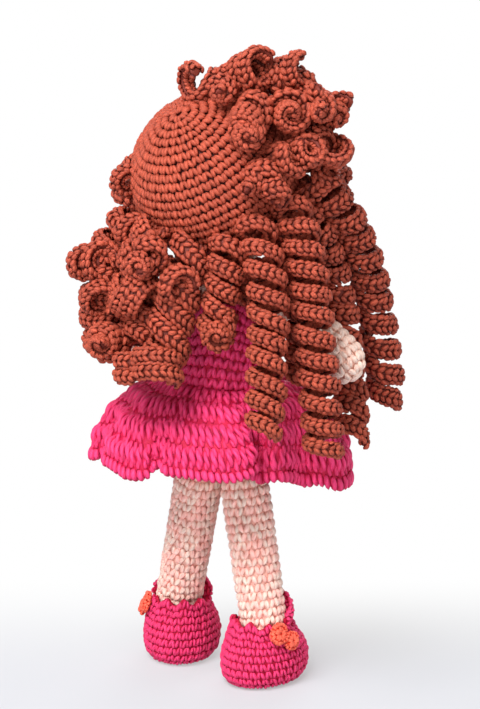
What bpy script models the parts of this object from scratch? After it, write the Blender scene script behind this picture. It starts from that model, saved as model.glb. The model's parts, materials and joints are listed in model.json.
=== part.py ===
"""A crocheted doll with a curly wig, a flared dress and strap shoes.

Metres, +Z up. The doll faces -Y, so its left side is +X. It stands on the soles of
its shoes at z = 0. The head turns on the neck, the arms rise about the shoulders and
the legs swing about the hips.
"""
import math

import bmesh
import bpy
import numpy as np
from mathutils import Matrix, Vector

# Clearance between pieces that touch, and the thickness of crocheted fabric
GAP = 0.0003
FABRIC = 0.0022

# Body: heights from the floor, and the sideways lean of the spine at the neck
HIP_HEIGHT = 0.084
NECK_HEIGHT = 0.193
NECK_ENTRY = 0.0025
SPINE_LEAN = 0.0075
WAIST_RADIUS = 0.023
NECK_RADIUS = 0.0086
HIP_SPACING = 0.023

# Head and the crocheted wig cap
HEAD_RADIUS = 0.0336
HEAD_ROLL = 15.0
HEAD_PITCH = 4.0
NECK_HOLE_RADIUS = 0.0104
CAP_RADIUS = 0.0368
CAP_FABRIC = 0.0019
CAP_AXIS_RISE = 25.0
CAP_SIDE_ANGLE = 108.0
CAP_EDGE_SWING = 13.0

# Face
EYE_RADIUS = 0.0042
EYE_DOME = 0.0028
EYE_SHANK_RADIUS = 0.0015
EYE_SHANK_LENGTH = 0.0056
WASHER_RADIUS = 0.0040
WASHER_THICKNESS = 0.0012
WASHER_CLEARANCE = 0.0013
EYE_TURN = 25.0
EYE_DROP = 6.0
EYE_SIDES = 12
EYE_DOME_ANGLES = (0, math.radians(30), math.radians(58), math.radians(78))
NOSE_WIDTH = 0.0034
NOSE_HEIGHT = 0.0026
NOSE_DEPTH = 0.0020
NOSE_DROP = 15.0
NOSE_ANGLES = (0, math.radians(35), math.radians(65), math.radians(84))
MOUTH_YARN_RADIUS = 0.0006
MOUTH_TURN = 14.0
MOUTH_DROP = 31.0
MOUTH_CURVE = 6.0

# Arms
ARM_RADIUS = 0.0075
ARM_LENGTH = 0.044
HAND_RADIUS = 0.0095
SHOULDER_HEIGHT = 0.1785
SHOULDER_SPREAD = 0.0181
ARM_SPLAY = {"left": 38.0, "right": 47.0}

# Legs and feet
LEG_RADIUS = 0.0102
ANKLE_RADIUS = 0.0098
ANKLE_HEIGHT = 0.033
ANKLE_SPREAD = 0.0228
FOOT_STAGGER = {"left": -0.0050, "right": 0.0070}
TOE_OUT = 15.0
SEAM_HOLE_RADIUS = 0.0032
DOME_ANGLES = (math.radians(38), math.radians(64))

# Shoes
SHOE_HEIGHT = 0.029
SHOE_HALF_LENGTH = 0.0224
SHOE_HALF_WIDTH = 0.0174
SHOE_FORWARD = 0.0020
RIM_DROP = 0.0052
STRAP_THICKNESS = 0.0022
STRAP_WIDTH = 0.0046
STRAP_RISE = 0.0065
STRAP_EASE = 0.0014
STRAP_TURN = 86.0
STRAP_SIDES = 8
BOW_LENGTH = 0.0135
BOW_HEIGHT = 0.0078
BOW_THICKNESS = 0.0034
BOW_TILT = 35.0
BOW_TURN = 102.0
BOW_PLACE = 0.0235
BOW_NESTLE = 0.0002

# Dress
BODICE_TOP = 0.178
ARMHOLE_DEPTH = 0.0150
WAISTLINE = 0.134
HEM_SIDE_HEIGHT = 0.0925
HEM_BACK_RISE = 0.0100
HEM_HALF_WIDTH = 0.0600
HEM_HALF_DEPTH = 0.0540
RUFFLE_DROP = 0.0030
BODICE_EASE = 0.0006

# Ringlets: a crocheted strip that winds on itself
STRIP_RADIUS = 0.0035
RINGLET_RADIUS = 0.0094
OPENING_CURLS = 0.75

# Facets: sides of each round form, and points of each curl
HEAD_SIDES = 20
TORSO_SIDES = 12
LIMB_SIDES = 10
SKIRT_SIDES = 60
CURL_POINTS = 8

# Outline of the torso: height share, width share, and depth as a share of the width
TORSO_SHARES = (
    (0.000, 0.74, 0.88), (0.045, 0.91, 0.88), (0.120, 1.00, 0.88), (0.250, 0.99, 0.88),
    (0.340, 0.95, 0.88), (0.420, 0.89, 0.88), (0.520, 0.80, 0.88), (0.620, 0.70, 0.88),
    (0.700, 0.60, 0.90), (0.760, 0.50, 0.93), (0.840, 0.435, 0.97), (0.900, 0.39, 1.00),
)

# Outline of an arm: place along it, and swelling from the arm's radius to the hand's
ARM_SHARES = ((0.00, 0.00), (0.15, 0.15), (0.45, 0.55), (0.70, 0.80), (0.86, 0.95), (1.00, 1.00))

# The round end of a hand: distance past its middle and width, as shares of its radius
HAND_SHARES = ((0.48, 0.88), (0.84, 0.55))

# Places of a leg's rings as shares of its length to the ankle
LEG_SHARES = (0.00, 0.33, 0.66, 1.00)

# Outline of a shoe, from the sole up: height, length, width, and shift along the foot
SHOE_SHARES = (
    (0.00, 0.74, 0.70, 0.00), (0.07, 0.91, 0.89, 0.00), (0.22, 1.00, 1.00, 0.00),
    (0.42, 0.99, 1.00, 0.00), (0.62, 0.90, 0.95, -0.02), (0.80, 0.77, 0.85, -0.05),
    (1.00, 0.68, 0.76, -0.08),
)

# Outline of the skirt from waist to hem: drop share and flare share
SKIRT_SHARES = ((0.00, 0.00), (0.12, 0.40), (0.34, 0.66), (0.66, 0.88), (1.00, 1.00))

# Folds of the skirt: place and half width as shares of a turn, depth as a share of the width
FOLD_SHARES = (
    (0.020, 0.030, 0.07), (0.105, 0.036, 0.06), (0.285, 0.024, 0.05), (0.362, 0.034, 0.15),
    (0.452, 0.026, 0.12), (0.560, 0.036, 0.07), (0.660, 0.036, 0.08), (0.765, 0.040, 0.07),
    (0.880, 0.040, 0.08),
)
FOLD_LIMIT_SHARE = 0.15

# Outline of a bow: place along it as a share of its length, height share and thickness share
BOW_SHARES = (
    (-0.54, 0.45, 0.40), (-0.46, 0.85, 0.90), (-0.24, 1.00, 1.00), (-0.02, 0.42, 0.60),
    (0.06, 0.42, 0.60), (0.24, 0.86, 0.95), (0.40, 0.72, 0.80), (0.46, 0.38, 0.40),
)

# Long ringlets: three points of the middle line as shares of the cap's radius from the
# head's centre, the first one straight out from the root, then the curls and the width share
RINGLET_SHARES = {
    "ringlet_back_a": ((-1.14, 0.95, -0.60), (-1.07, 0.84, -1.57), (-1.22, 1.37, -2.62), 7.5, 0.96),
    "ringlet_back_b": ((-1.33, 0.35, -0.25), (-1.49, 0.61, -1.50), (-1.70, 0.72, -2.97), 8.0, 1.0),
    "ringlet_side_d": ((-1.51, -0.13, 0.01), (-1.45, -1.50, -1.20), (-1.58, -1.40, -2.93), 6.0, 1.0),
    "ringlet_side_e": ((-1.45, 0.06, -0.47), (-1.01, -1.35, -1.46), (-1.70, -0.13, -3.03), 6.5, 0.88),
    "ringlet_nape_f": ((-0.63, 0.98, -0.76), (-0.45, 0.88, -1.30), (-0.42, 1.00, -1.66), 3.0, 0.94),
    "ringlet_nape_g": ((-0.13, 1.10, -0.85), (0.10, 1.05, -1.47), (0.04, 1.36, -1.98), 3.0, 1.1),
    "ringlet_nape_h": ((0.41, 1.08, -0.61), (0.56, 1.03, -1.05), (0.68, 1.07, -1.39), 2.5, 1.06),
    "ringlet_side_i": ((1.02, 0.71, -0.67), (1.19, 0.88, -1.03), (1.00, 0.97, -1.90), 2.5, 1.10),
    "ringlet_side_j": ((1.29, -0.27, 0.00), (1.30, -0.24, -0.45), (1.18, -0.08, -0.82), 2.0, 0.88),
    "ringlet_front_left_a": ((1.42, -0.66, -0.08), (1.26, -1.10, -1.30), (1.22, -0.96, -2.30), 3.5, 0.94),
    "ringlet_front_left_b": ((1.14, -0.90, 0.56), (1.16, -1.56, -0.90), (0.80, -1.24, -2.20), 3.5, 0.88),
    "ringlet_front_right": ((-1.00, -0.82, 1.08), (-1.10, -1.70, -0.50), (-0.70, -1.24, -2.10), 3.5, 0.88),
}

# Short curls on the crown and the fringe, laid out as the long ringlets are
CURL_SHARES = {
    "curl_crown_a": ((0.13, 0.10, 1.02), (0.13, 0.15, 1.09), (0.17, 0.21, 1.19), 1.0, 0.95),
    "curl_crown_b": ((-0.25, -0.02, 1.07), (-0.27, -0.11, 1.27), (-0.47, -0.21, 1.29), 1.3, 1.0),
    "curl_crown_c": ((-0.68, -0.21, 1.03), (-0.62, -0.40, 1.23), (-0.78, -0.54, 1.22), 1.2, 0.98),
    "curl_crown_d": ((-0.90, -0.28, 0.92), (-0.96, -0.32, 1.03), (-1.08, -0.44, 1.09), 1.0, 0.86),
    "curl_crown_e": ((-1.15, -0.27, 0.73), (-1.21, -0.42, 0.82), (-1.31, -0.59, 0.90), 1.0, 0.9),
    "curl_crown_f": ((-0.91, 0.08, 0.70), (-0.96, 0.14, 0.78), (-1.05, 0.26, 0.87), 1.0, 0.94),
    "curl_temple_g": ((-0.72, 0.20, 0.98), (-0.75, 0.59, 0.93), (-0.74, 0.83, 0.74), 1.2, 0.94),
    "curl_temple_h": ((-1.01, 0.30, 0.42), (-1.10, 0.36, 0.44), (-1.17, 0.37, 0.45), 1.0, 0.84),
    "curl_temple_i": ((-1.20, -0.16, 0.38), (-1.30, -0.24, 0.37), (-1.41, -0.32, 0.40), 1.0, 0.92),
    "curl_temple_j": ((-0.83, 0.68, 0.31), (-0.97, 0.74, 0.19), (-1.12, 0.69, -0.03), 1.2, 0.72),
    "curl_fringe_a": ((0.28, -0.98, 1.02), (0.40, -1.20, 0.96), (0.54, -1.30, 0.84), 1.0, 0.84),
    "curl_fringe_b": ((0.54, -0.88, 0.66), (0.63, -1.06, 0.54), (0.68, -1.13, 0.38), 1.0, 0.72),
}

SKIN = (0.86, 0.72, 0.62)
HAIR = (0.52, 0.17, 0.09)
PINK = (0.86, 0.05, 0.17)
ORANGE = (1.00, 0.22, 0.07)
FILLING = (0.93, 0.92, 0.90)
BLACK = (0.01, 0.01, 0.01)
WASHER_WHITE = (0.88, 0.88, 0.86)
MOUTH_RED = (0.70, 0.10, 0.10)


def clear_scene():
    """Remove the startup objects."""
    for obj in list(bpy.data.objects):
        bpy.data.objects.remove(obj)


def make_material(name, colour, roughness):
    """A Principled material of one colour."""
    material = bpy.data.materials.new(name)
    material.use_nodes = True
    shader = material.node_tree.nodes["Principled BSDF"]
    shader.inputs["Base Color"].default_value = (*colour, 1)
    shader.inputs["Roughness"].default_value = roughness
    shader.inputs["Metallic"].default_value = 0
    return material


def add_mesh(name, verts, faces, material, origin=Vector()):
    """A smooth closed mesh object, with world vertices and its origin on a joint's axis."""
    mesh = bpy.data.meshes.new(name)
    local = np.asarray(verts) - np.asarray(origin)
    mesh.from_pydata(local.tolist(), [], faces)
    work = bmesh.new()
    work.from_mesh(mesh)
    bmesh.ops.recalc_face_normals(work, faces=work.faces)
    work.to_mesh(mesh)
    work.free()
    mesh.materials.append(material)
    mesh.shade_smooth()
    obj = bpy.data.objects.new(name, mesh)
    obj.location = origin
    bpy.context.scene.collection.objects.link(obj)
    return obj


def loft(rings, closed=False):
    """Vertices and faces of a skin over rings of equal length, capped or joined end to end."""
    count = len(rings[0])
    verts = np.concatenate(rings)
    pairs = [(k, k + 1) for k in range(len(rings) - 1)]
    if closed:
        pairs.append((len(rings) - 1, 0))
    faces = []
    for low, high in pairs:
        for side in range(count):
            after = (side + 1) % count
            start, end = low * count, high * count
            faces.append((start + side, start + after, end + after, end + side))
    if not closed:
        faces.append(tuple(range(count)))
        faces.append(tuple(range(len(verts) - count, len(verts))))
    return verts, faces


def turn(sides):
    """Angles of the corners of one ring."""
    return np.arange(sides) * 2 * math.pi / sides


def circle(centre, across, along, half_width, half_depth, sides):
    """A ring of points on an ellipse between two unit vectors."""
    angle = turn(sides)[:, None]
    return np.asarray(centre) + half_width * np.cos(angle) * across + half_depth * np.sin(angle) * along


def spine(height):
    """The point of the leaning spine at a height."""
    rise = (height - HIP_HEIGHT) / (NECK_HEIGHT - HIP_HEIGHT)
    return np.array((-SPINE_LEAN * rise, 0, height))


def frame_about(direction):
    """Two unit vectors square to a direction, the first one level where it can be."""
    ahead = np.asarray(direction) / np.linalg.norm(direction)
    guide = BACKWARDS if abs(ahead[1]) < abs(ahead[2]) else UPRIGHT
    across = np.cross(guide, ahead)
    across /= np.linalg.norm(across)
    return ahead, across, np.cross(ahead, across)


SIDEWAYS, BACKWARDS, UPRIGHT = np.eye(3)
NECK_PIVOT = spine(NECK_HEIGHT)
HEAD_TILT = Matrix.Rotation(math.radians(HEAD_ROLL), 3, "Y")
HEAD_AXES = np.array(HEAD_TILT @ Matrix.Rotation(math.radians(-HEAD_PITCH), 3, "X"))
NECK_HOLE_DROP = math.sqrt(HEAD_RADIUS ** 2 - NECK_HOLE_RADIUS ** 2)
HEAD_CENTRE = spine(NECK_HEIGHT) + HEAD_AXES @ np.array((0, 0, NECK_HOLE_DROP))
TORSO_BOTTOM = HIP_HEIGHT + LEG_RADIUS + GAP
TORSO_HEIGHT = NECK_HEIGHT + NECK_ENTRY - TORSO_BOTTOM


def to_world(points):
    """Points of the head's own frame, whose +Z is the crown, in the world frame."""
    return np.asarray(points) @ HEAD_AXES.T + HEAD_CENTRE


def head_direction(turn_angle, drop_angle):
    """A unit vector of the head's frame, turned to the doll's left of the face and dropped."""
    yaw, fall = math.radians(turn_angle), math.radians(drop_angle)
    return np.array((math.sin(yaw) * math.cos(fall), -math.cos(yaw) * math.cos(fall), -math.sin(fall)))


def torso_radii(height):
    """Half width and half depth of the torso at a height, from its outline."""
    share = (height - TORSO_BOTTOM) / TORSO_HEIGHT
    table = np.array(TORSO_SHARES)
    width = max(NECK_RADIUS, WAIST_RADIUS * np.interp(share, table[:, 0], table[:, 1]))
    return width, width * np.interp(share, table[:, 0], table[:, 2])


def torso_ring(height, offset, sides):
    """A level ring round the spine, the given offset outside the torso's surface."""
    width, depth = torso_radii(height)
    return circle(spine(height), SIDEWAYS, BACKWARDS, width + offset, depth + offset, sides)


def plainer(rings):
    """Every other ring counted back from the last, with the first one kept."""
    return rings[:1] + rings[1:][::-2][::-1]


def cup(outer, inner):
    """A shell from two skins of rings, each listed from its closed end to the opening."""
    return loft(outer + inner[::-1])


def build_torso(yarn, filling):
    """The crocheted trunk, open at the neck, and the filling that shows there."""
    top = TORSO_BOTTOM + TORSO_HEIGHT
    floor = TORSO_BOTTOM + FABRIC
    heights = [TORSO_BOTTOM + row[0] * TORSO_HEIGHT for row in TORSO_SHARES] + [top]
    outer = [torso_ring(height, 0, TORSO_SIDES) for height in heights]
    inside = [floor] + [height for height in heights if height > floor + FABRIC]
    inner = [torso_ring(height, -FABRIC, TORSO_SIDES) for height in inside]
    add_mesh("torso", *cup(outer, plainer(inner)), yarn)
    core = plainer([floor + GAP] + inside[1:])
    plug = [torso_ring(height, -FABRIC - GAP, TORSO_SIDES)[::2] for height in core]
    add_mesh("torso_stuffing", *loft(plug), filling)


def ball_ring(radius, polar, sides):
    """A ring of the head's frame at a polar angle from the crown, on a ball of a radius."""
    centre = np.array((0, 0, radius * math.cos(polar)))
    width = radius * math.sin(polar)
    return circle(centre, SIDEWAYS, BACKWARDS, width, width, sides)


def lathe(start, direction, profile, sides):
    """A turned form: rings at (distance along, radius) pairs from a start point."""
    ahead, across, along = frame_about(direction)
    return [circle(start + distance * ahead, across, along, radius, radius, sides)
            for distance, radius in profile]


def add_cutter(name, start, end, radius):
    """A hidden round cutter between two points."""
    length = np.linalg.norm(end - start)
    ends = ((0, radius), (length, radius))
    cutter = add_mesh(name, *loft(lathe(start, end - start, ends, EYE_SIDES)), None)
    cutter.hide_render = True
    cutter.display_type = "WIRE"
    return cutter


def cut(obj, cutter):
    """Take a cutter's space out of an object."""
    modifier = obj.modifiers.new("Hole", "BOOLEAN")
    modifier.operation = "DIFFERENCE"
    modifier.object = cutter


def build_head(skin, filling):
    """The crocheted head, open at the neck, and its ball of filling."""
    steps = HEAD_SIDES // 2
    inner_radius = HEAD_RADIUS - FABRIC
    core_radius = inner_radius - GAP
    opening = math.pi - math.asin(NECK_HOLE_RADIUS / HEAD_RADIUS)
    inner_opening = math.pi - math.asin(NECK_HOLE_RADIUS / inner_radius)
    first = opening / HEAD_SIDES
    inner_angles = np.linspace(first, inner_opening, steps)
    outer = [ball_ring(HEAD_RADIUS, angle, HEAD_SIDES) for angle in np.linspace(first, opening, steps)]
    inner = [ball_ring(inner_radius, angle, HEAD_SIDES) for angle in inner_angles]
    verts, faces = cup(outer, inner)
    shell = add_mesh("head", to_world(verts), faces, skin, NECK_PIVOT)

    lowest = math.acos(-(NECK_HOLE_DROP - 2 * NECK_ENTRY - FABRIC) / core_radius)
    core = [ball_ring(core_radius, angle, HEAD_SIDES)[::2] for angle in inner_angles if angle < lowest]
    verts, faces = loft(plainer(core))
    ball = add_mesh("head_stuffing", to_world(verts), faces, filling, NECK_PIVOT)
    return shell, ball


def build_eye(side, sign, shell, ball, gloss, washer_plastic):
    """A domed safety eye whose shank goes through the head, and the washer on it inside."""
    direction = head_direction(sign * EYE_TURN, EYE_DROP)
    seat = direction * (HEAD_RADIUS + GAP)
    tip = EYE_SHANK_RADIUS / EYE_SIDES
    dome = [(EYE_DOME * math.sin(angle), EYE_RADIUS * math.cos(angle)) for angle in EYE_DOME_ANGLES]
    shank = [(-EYE_SHANK_LENGTH, tip), (-EYE_SHANK_LENGTH, EYE_SHANK_RADIUS), (0, EYE_SHANK_RADIUS)]
    verts, faces = loft(lathe(seat, direction, shank + dome + [(EYE_DOME, tip)], EYE_SIDES))
    add_mesh("eye_" + side, to_world(verts), faces, gloss, NECK_PIVOT)

    hole = EYE_SHANK_RADIUS + GAP
    face = -(FABRIC + GAP + WASHER_CLEARANCE)
    back = face - WASHER_THICKNESS
    section = [(face, hole), (face, WASHER_RADIUS), (back, WASHER_RADIUS), (back, hole)]
    verts, faces = loft(lathe(seat, direction, section, EYE_SIDES), closed=True)
    add_mesh("eye_washer_" + side, to_world(verts), faces, washer_plastic, NECK_PIVOT)

    outside = to_world(seat + direction * EYE_DOME)
    inside = to_world(seat - direction * 2 * FABRIC)
    cut(shell, add_cutter("cutter_hole_" + side, inside, outside, hole))
    deep = to_world(seat - direction * (EYE_SHANK_LENGTH + WASHER_CLEARANCE))
    cut(ball, add_cutter("cutter_pocket_" + side, deep, outside, WASHER_RADIUS + WASHER_CLEARANCE))


def build_nose(yarn):
    """A small oval bump sewn on the middle of the face."""
    direction = head_direction(0, NOSE_DROP)
    ahead, across, along = frame_about(direction)
    seat = direction * (HEAD_RADIUS + GAP)
    rings = []
    for angle in NOSE_ANGLES:
        wide, high = NOSE_WIDTH * math.cos(angle), NOSE_HEIGHT * math.cos(angle)
        centre = seat + ahead * NOSE_DEPTH * math.sin(angle)
        rings.append(circle(centre, across, along, wide, high, LIMB_SIDES))
    verts, faces = loft(rings)
    add_mesh("nose", to_world(verts), faces, yarn, NECK_PIVOT)


def add_tube(name, points, radius, material, origin):
    """A six-sided tube along points, with filled ends."""
    curve = bpy.data.curves.new(name, "CURVE")
    curve.dimensions = "3D"
    curve.bevel_depth = radius
    curve.bevel_resolution = 1
    curve.use_fill_caps = True
    curve.resolution_u = 1
    curve.render_resolution_u = 0
    spline = curve.splines.new("POLY")
    spline.points.add(len(points) - 1)
    local = np.asarray(points) - np.asarray(origin)
    spline.points.foreach_set("co", np.c_[local, np.ones(len(points))].astype(np.float32).ravel())
    curve.materials.append(material)
    obj = bpy.data.objects.new(name, curve)
    obj.location = origin
    bpy.context.scene.collection.objects.link(obj)


def build_mouth(yarn):
    """One embroidered strand that lies on the face in a shallow smile."""
    reach = HEAD_RADIUS + GAP + MOUTH_YARN_RADIUS
    points = []
    for share in np.linspace(-1, 1, CURL_POINTS + 1):
        points.append(reach * head_direction(share * MOUTH_TURN, MOUTH_DROP - MOUTH_CURVE * share ** 2))
    add_tube("mouth", to_world(points), MOUTH_YARN_RADIUS, yarn, NECK_PIVOT)


def build_cap(yarn):
    """The wig cap: a cup over the back of the head, its edge round the face and the nape.

    A ring is at a share of the edge's polar angle from the pole behind the head.
    """
    rise = math.radians(CAP_AXIS_RISE)
    pole = np.array((0, math.cos(rise), math.sin(rise)))
    upward = np.array((0, -math.sin(rise), math.cos(rise)))
    angle = turn(HEAD_SIDES)
    edge = np.radians(CAP_SIDE_ANGLE + CAP_EDGE_SWING * np.cos(angle))
    radial = np.cos(angle)[:, None] * upward + np.sin(angle)[:, None] * SIDEWAYS

    def skin(radius):
        polars = [(edge * share)[:, None] for share in np.linspace(1 / HEAD_SIDES, 1, HEAD_SIDES // 2 - 2)]
        return [radius * (np.cos(polar) * pole + np.sin(polar) * radial) for polar in polars]

    verts, faces = cup(skin(CAP_RADIUS), skin(CAP_RADIUS - CAP_FABRIC))
    add_mesh("hair_cap", to_world(verts), faces, yarn, NECK_PIVOT)


def bezier(corners, share):
    """Points of a cubic curve from its four corners."""
    share = np.asarray(share)[:, None]
    left = 1 - share
    a, b, c, d = (np.asarray(corner) for corner in corners)
    return left ** 3 * a + 3 * share * left ** 2 * b + 3 * share ** 2 * left * c + share ** 3 * d


def ringlet_points(corners, curls, radius):
    """A helix round a curved middle line: straight at its root, then opening to full width.

    Each point is the middle line's point plus the radius times a unit vector that turns
    once per curl in the plane square to the middle line.
    """
    count = int(round(curls * CURL_POINTS)) + 1
    fine = np.linspace(0, 1, CURL_POINTS * count)
    run = np.cumsum(np.linalg.norm(np.diff(bezier(corners, fine), axis=0), axis=1))
    share = np.linspace(0, 1, count)
    place = np.interp(share * run[-1], np.concatenate([[0], run]), fine)
    step = 1 / len(fine)
    centre = bezier(corners, place)
    ahead = bezier(corners, np.minimum(place + step, 1)) - bezier(corners, np.maximum(place - step, 0))
    ahead /= np.linalg.norm(ahead, axis=1)[:, None]
    guide = np.cross(corners[1] - corners[0], corners[3] - corners[0])
    guide /= np.linalg.norm(guide)
    across = guide - (ahead @ guide)[:, None] * ahead
    across /= np.linalg.norm(across, axis=1)[:, None]
    along = np.cross(ahead, across)
    angle = -(share * curls * 2 * math.pi)[:, None]
    opening = np.clip((share * curls - 1 / CURL_POINTS) / OPENING_CURLS, 0, 1)
    width = (radius * opening ** 2 * (3 - 2 * opening))[:, None]
    return centre + width * (np.cos(angle) * across + np.sin(angle) * along)


def least_self_gap(points, radius):
    """The least distance between a tube's turns, measured on points along its middle."""
    spans = zip(points[:-1], points[1:])
    fine = np.concatenate([np.linspace(start, end, CURL_POINTS, endpoint=False) for start, end in spans])
    apart = np.linalg.norm(fine[:, None] - fine[None], axis=2)
    run = np.concatenate([[0], np.cumsum(np.linalg.norm(np.diff(fine, axis=0), axis=1))])
    near = np.abs(run[:, None] - run[None]) < 2 * math.pi * radius
    return float(np.where(near, np.inf, apart).min() - 2 * radius)


def build_ringlets(yarn):
    """Every ringlet and curl, each one wound strip rooted on the wig cap."""
    total = 0
    for name, (*middle, curls, width) in {**RINGLET_SHARES, **CURL_SHARES}.items():
        outward = np.array(middle[0]) / np.linalg.norm(middle[0])
        corners = [HEAD_CENTRE + CAP_RADIUS * np.array(corner) for corner in middle]
        corners.insert(0, HEAD_CENTRE + (CAP_RADIUS + GAP) * outward)
        points = ringlet_points(corners, curls, width * RINGLET_RADIUS - STRIP_RADIUS)
        add_tube(name, points, STRIP_RADIUS, yarn, NECK_PIVOT)
        total += curls
        gap = least_self_gap(points, STRIP_RADIUS)
        print(name, "curls", curls, "least gap to itself", round(gap, 5), "m")
    print("curls in all", round(total, 1))


def limb_outline(radius, rows, inset):
    """Distance and radius pairs of a limb, an inset inside it, from its end to its sewn top."""
    ball = radius - inset
    hole = min(SEAM_HOLE_RADIUS, ball) - (GAP if inset > FABRIC else 0)
    end = rows[-1][0] - inset
    body = [(min(distance, end), width - inset) for distance, width in rows]
    dome = [(-ball * math.cos(angle), ball * math.sin(angle)) for angle in reversed(DOME_ANGLES)]
    return body[::-1] + dome + [(-math.sqrt(ball ** 2 - hole ** 2), hole)]


def build_arm(side, sign, yarn, filling):
    """A stuffed arm on a ball shoulder, splayed from the body, with a round hand."""
    splay = math.radians(ARM_SPLAY[side])
    direction = np.array((sign * math.sin(splay), 0, -math.cos(splay)))
    shoulder = spine(SHOULDER_HEIGHT) + np.array((sign * SHOULDER_SPREAD, 0, 0))
    rows = [(place * ARM_LENGTH, ARM_RADIUS + (HAND_RADIUS - ARM_RADIUS) * swell)
            for place, swell in ARM_SHARES]
    rows += [(ARM_LENGTH + place * HAND_RADIUS, width * HAND_RADIUS) for place, width in HAND_SHARES]
    skins = [lathe(shoulder, direction, limb_outline(ARM_RADIUS, rows, inset), LIMB_SIDES)
             for inset in (0, FABRIC, FABRIC + GAP)]
    add_mesh("arm_" + side, *cup(skins[0], plainer(skins[1])), yarn, shoulder)
    add_mesh("arm_stuffing_" + side, *loft([ring[::2] for ring in plainer(skins[2])]), filling, shoulder)


def foot_axes(sign):
    """Unit vectors along a foot and across it, out from the body."""
    heading = math.radians(TOE_OUT)
    ahead = np.array((sign * math.sin(heading), -math.cos(heading), 0))
    return ahead, np.array((sign * math.cos(heading), math.sin(heading), 0))


def ankle_point(side, sign):
    """The middle of the ankle."""
    return np.array((sign * ANKLE_SPREAD, FOOT_STAGGER[side], ANKLE_HEIGHT))


def hip_point(sign):
    """The middle of the ball at the top of a leg."""
    return np.array((sign * HIP_SPACING / 2, 0, HIP_HEIGHT))


def shoe_ring(side, sign, row, inset):
    """A ring of the shoe, the given inset within its outer face, lower at the front near the edge."""
    height, length, width, shift = row
    ahead, across = foot_axes(sign)
    centre = ankle_point(side, sign) * (1, 1, 0) + ahead * (SHOE_FORWARD + shift * SHOE_HALF_LENGTH)
    long, wide = length * SHOE_HALF_LENGTH - inset, width * SHOE_HALF_WIDTH - inset
    ring = circle(centre, ahead, across, long, wide, LIMB_SIDES)
    forward = (1 + np.cos(turn(LIMB_SIDES))) / 2
    ring[:, 2] = max(height * SHOE_HEIGHT, inset) - RIM_DROP * height ** 3 * forward
    return ring


def build_shoe(side, sign, yarn):
    """The crocheted slipper: a cup with a flat sole and an edge that dips over the instep."""
    outer, inner = ([shoe_ring(side, sign, row, inset) for row in SHOE_SHARES] for inset in (0, FABRIC))
    add_mesh("shoe_" + side, *cup(outer, inner), yarn, hip_point(sign))


def build_leg(side, sign, yarn, filling):
    """A stuffed leg on a ball hip, its foot inside the shoe, and its filling."""
    hip = hip_point(sign)
    run = ankle_point(side, sign) - hip
    length = np.linalg.norm(run)
    direction = run / length
    ahead, _ = foot_axes(sign)
    forward = ahead - (ahead @ direction) * direction
    forward /= np.linalg.norm(forward)
    across = -sign * np.cross(direction, forward)
    rows = [(share * length, LEG_RADIUS + (ANKLE_RADIUS - LEG_RADIUS) * share) for share in LEG_SHARES]

    def skin(inset):
        foot = [shoe_ring(side, sign, row, FABRIC + GAP + inset) for row in SHOE_SHARES]
        outline = limb_outline(LEG_RADIUS, rows, inset)
        outline[0] = (length, outline[0][1])
        return foot + [circle(hip + along * direction, forward, across, width, width, LIMB_SIDES)
                       for along, width in outline]

    add_mesh("leg_" + side, *cup(skin(0), plainer(skin(FABRIC))), yarn, hip)
    core = [ring[::2] for ring in plainer(skin(FABRIC + GAP))]
    add_mesh("leg_stuffing_" + side, *loft(core), filling, hip)


def build_strap(side, sign, yarn):
    """The ankle strap: a band that stands on the shoe's edge and rises over the instep."""
    ahead, across = foot_axes(sign)
    ankle = ankle_point(side, sign)
    reach = ANKLE_RADIUS + STRAP_EASE + STRAP_THICKNESS / 2
    low = SHOE_HEIGHT - RIM_DROP / 2 + STRAP_WIDTH / 2 + GAP
    rings = []
    for angle in np.linspace(-STRAP_TURN, STRAP_TURN, CURL_POINTS + 1):
        angle = math.radians(angle)
        outward = math.cos(angle) * ahead + math.sin(angle) * across
        centre = ankle * (1, 1, 0) + outward * reach
        centre[2] = low + STRAP_RISE * (1 + math.cos(2 * angle)) / 2
        rings.append(circle(centre, outward, UPRIGHT, STRAP_THICKNESS / 2, STRAP_WIDTH / 2, STRAP_SIDES))
    add_mesh("shoe_strap_" + side, *loft(rings), yarn, hip_point(sign))


def shoe_width(height):
    """Half width of the shoe at a height, from its outline."""
    table = np.array(SHOE_SHARES)
    return SHOE_HALF_WIDTH * np.interp(height / SHOE_HEIGHT, table[:, 0], table[:, 2])


def build_bow(side, sign, yarn):
    """A two-lobed bow, drawn in at its middle, that lies on the shoe's outer side below the strap."""
    ahead, across = foot_axes(sign)
    place = math.radians(BOW_TURN)
    outward = math.cos(place) * ahead + math.sin(place) * across
    level = math.cos(place) * across - math.sin(place) * ahead
    narrowing = shoe_width(BOW_PLACE - BOW_HEIGHT / 2) - shoe_width(BOW_PLACE + BOW_HEIGHT / 2)
    lean = math.atan2(narrowing, BOW_HEIGHT)
    face = math.cos(lean) * outward + math.sin(lean) * UPRIGHT
    rise = math.cos(lean) * UPRIGHT - math.sin(lean) * outward
    tilt = math.radians(BOW_TILT)
    along = math.sin(tilt) * rise - math.cos(tilt) * level
    upward = np.cross(face, along)
    middle = ankle_point(side, sign) * (1, 1, 0) + ahead * SHOE_FORWARD / 2
    middle = middle + outward * shoe_width(BOW_PLACE) + face * (BOW_THICKNESS / 2 + GAP - BOW_NESTLE)
    middle[2] += BOW_PLACE
    rings = [circle(middle + place * BOW_LENGTH * along, face, upward, thick * BOW_THICKNESS / 2,
                    high * BOW_HEIGHT / 2, CURL_POINTS) for place, high, thick in BOW_SHARES]
    add_mesh("shoe_bow_" + side, *loft(rings), yarn, hip_point(sign))


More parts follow.
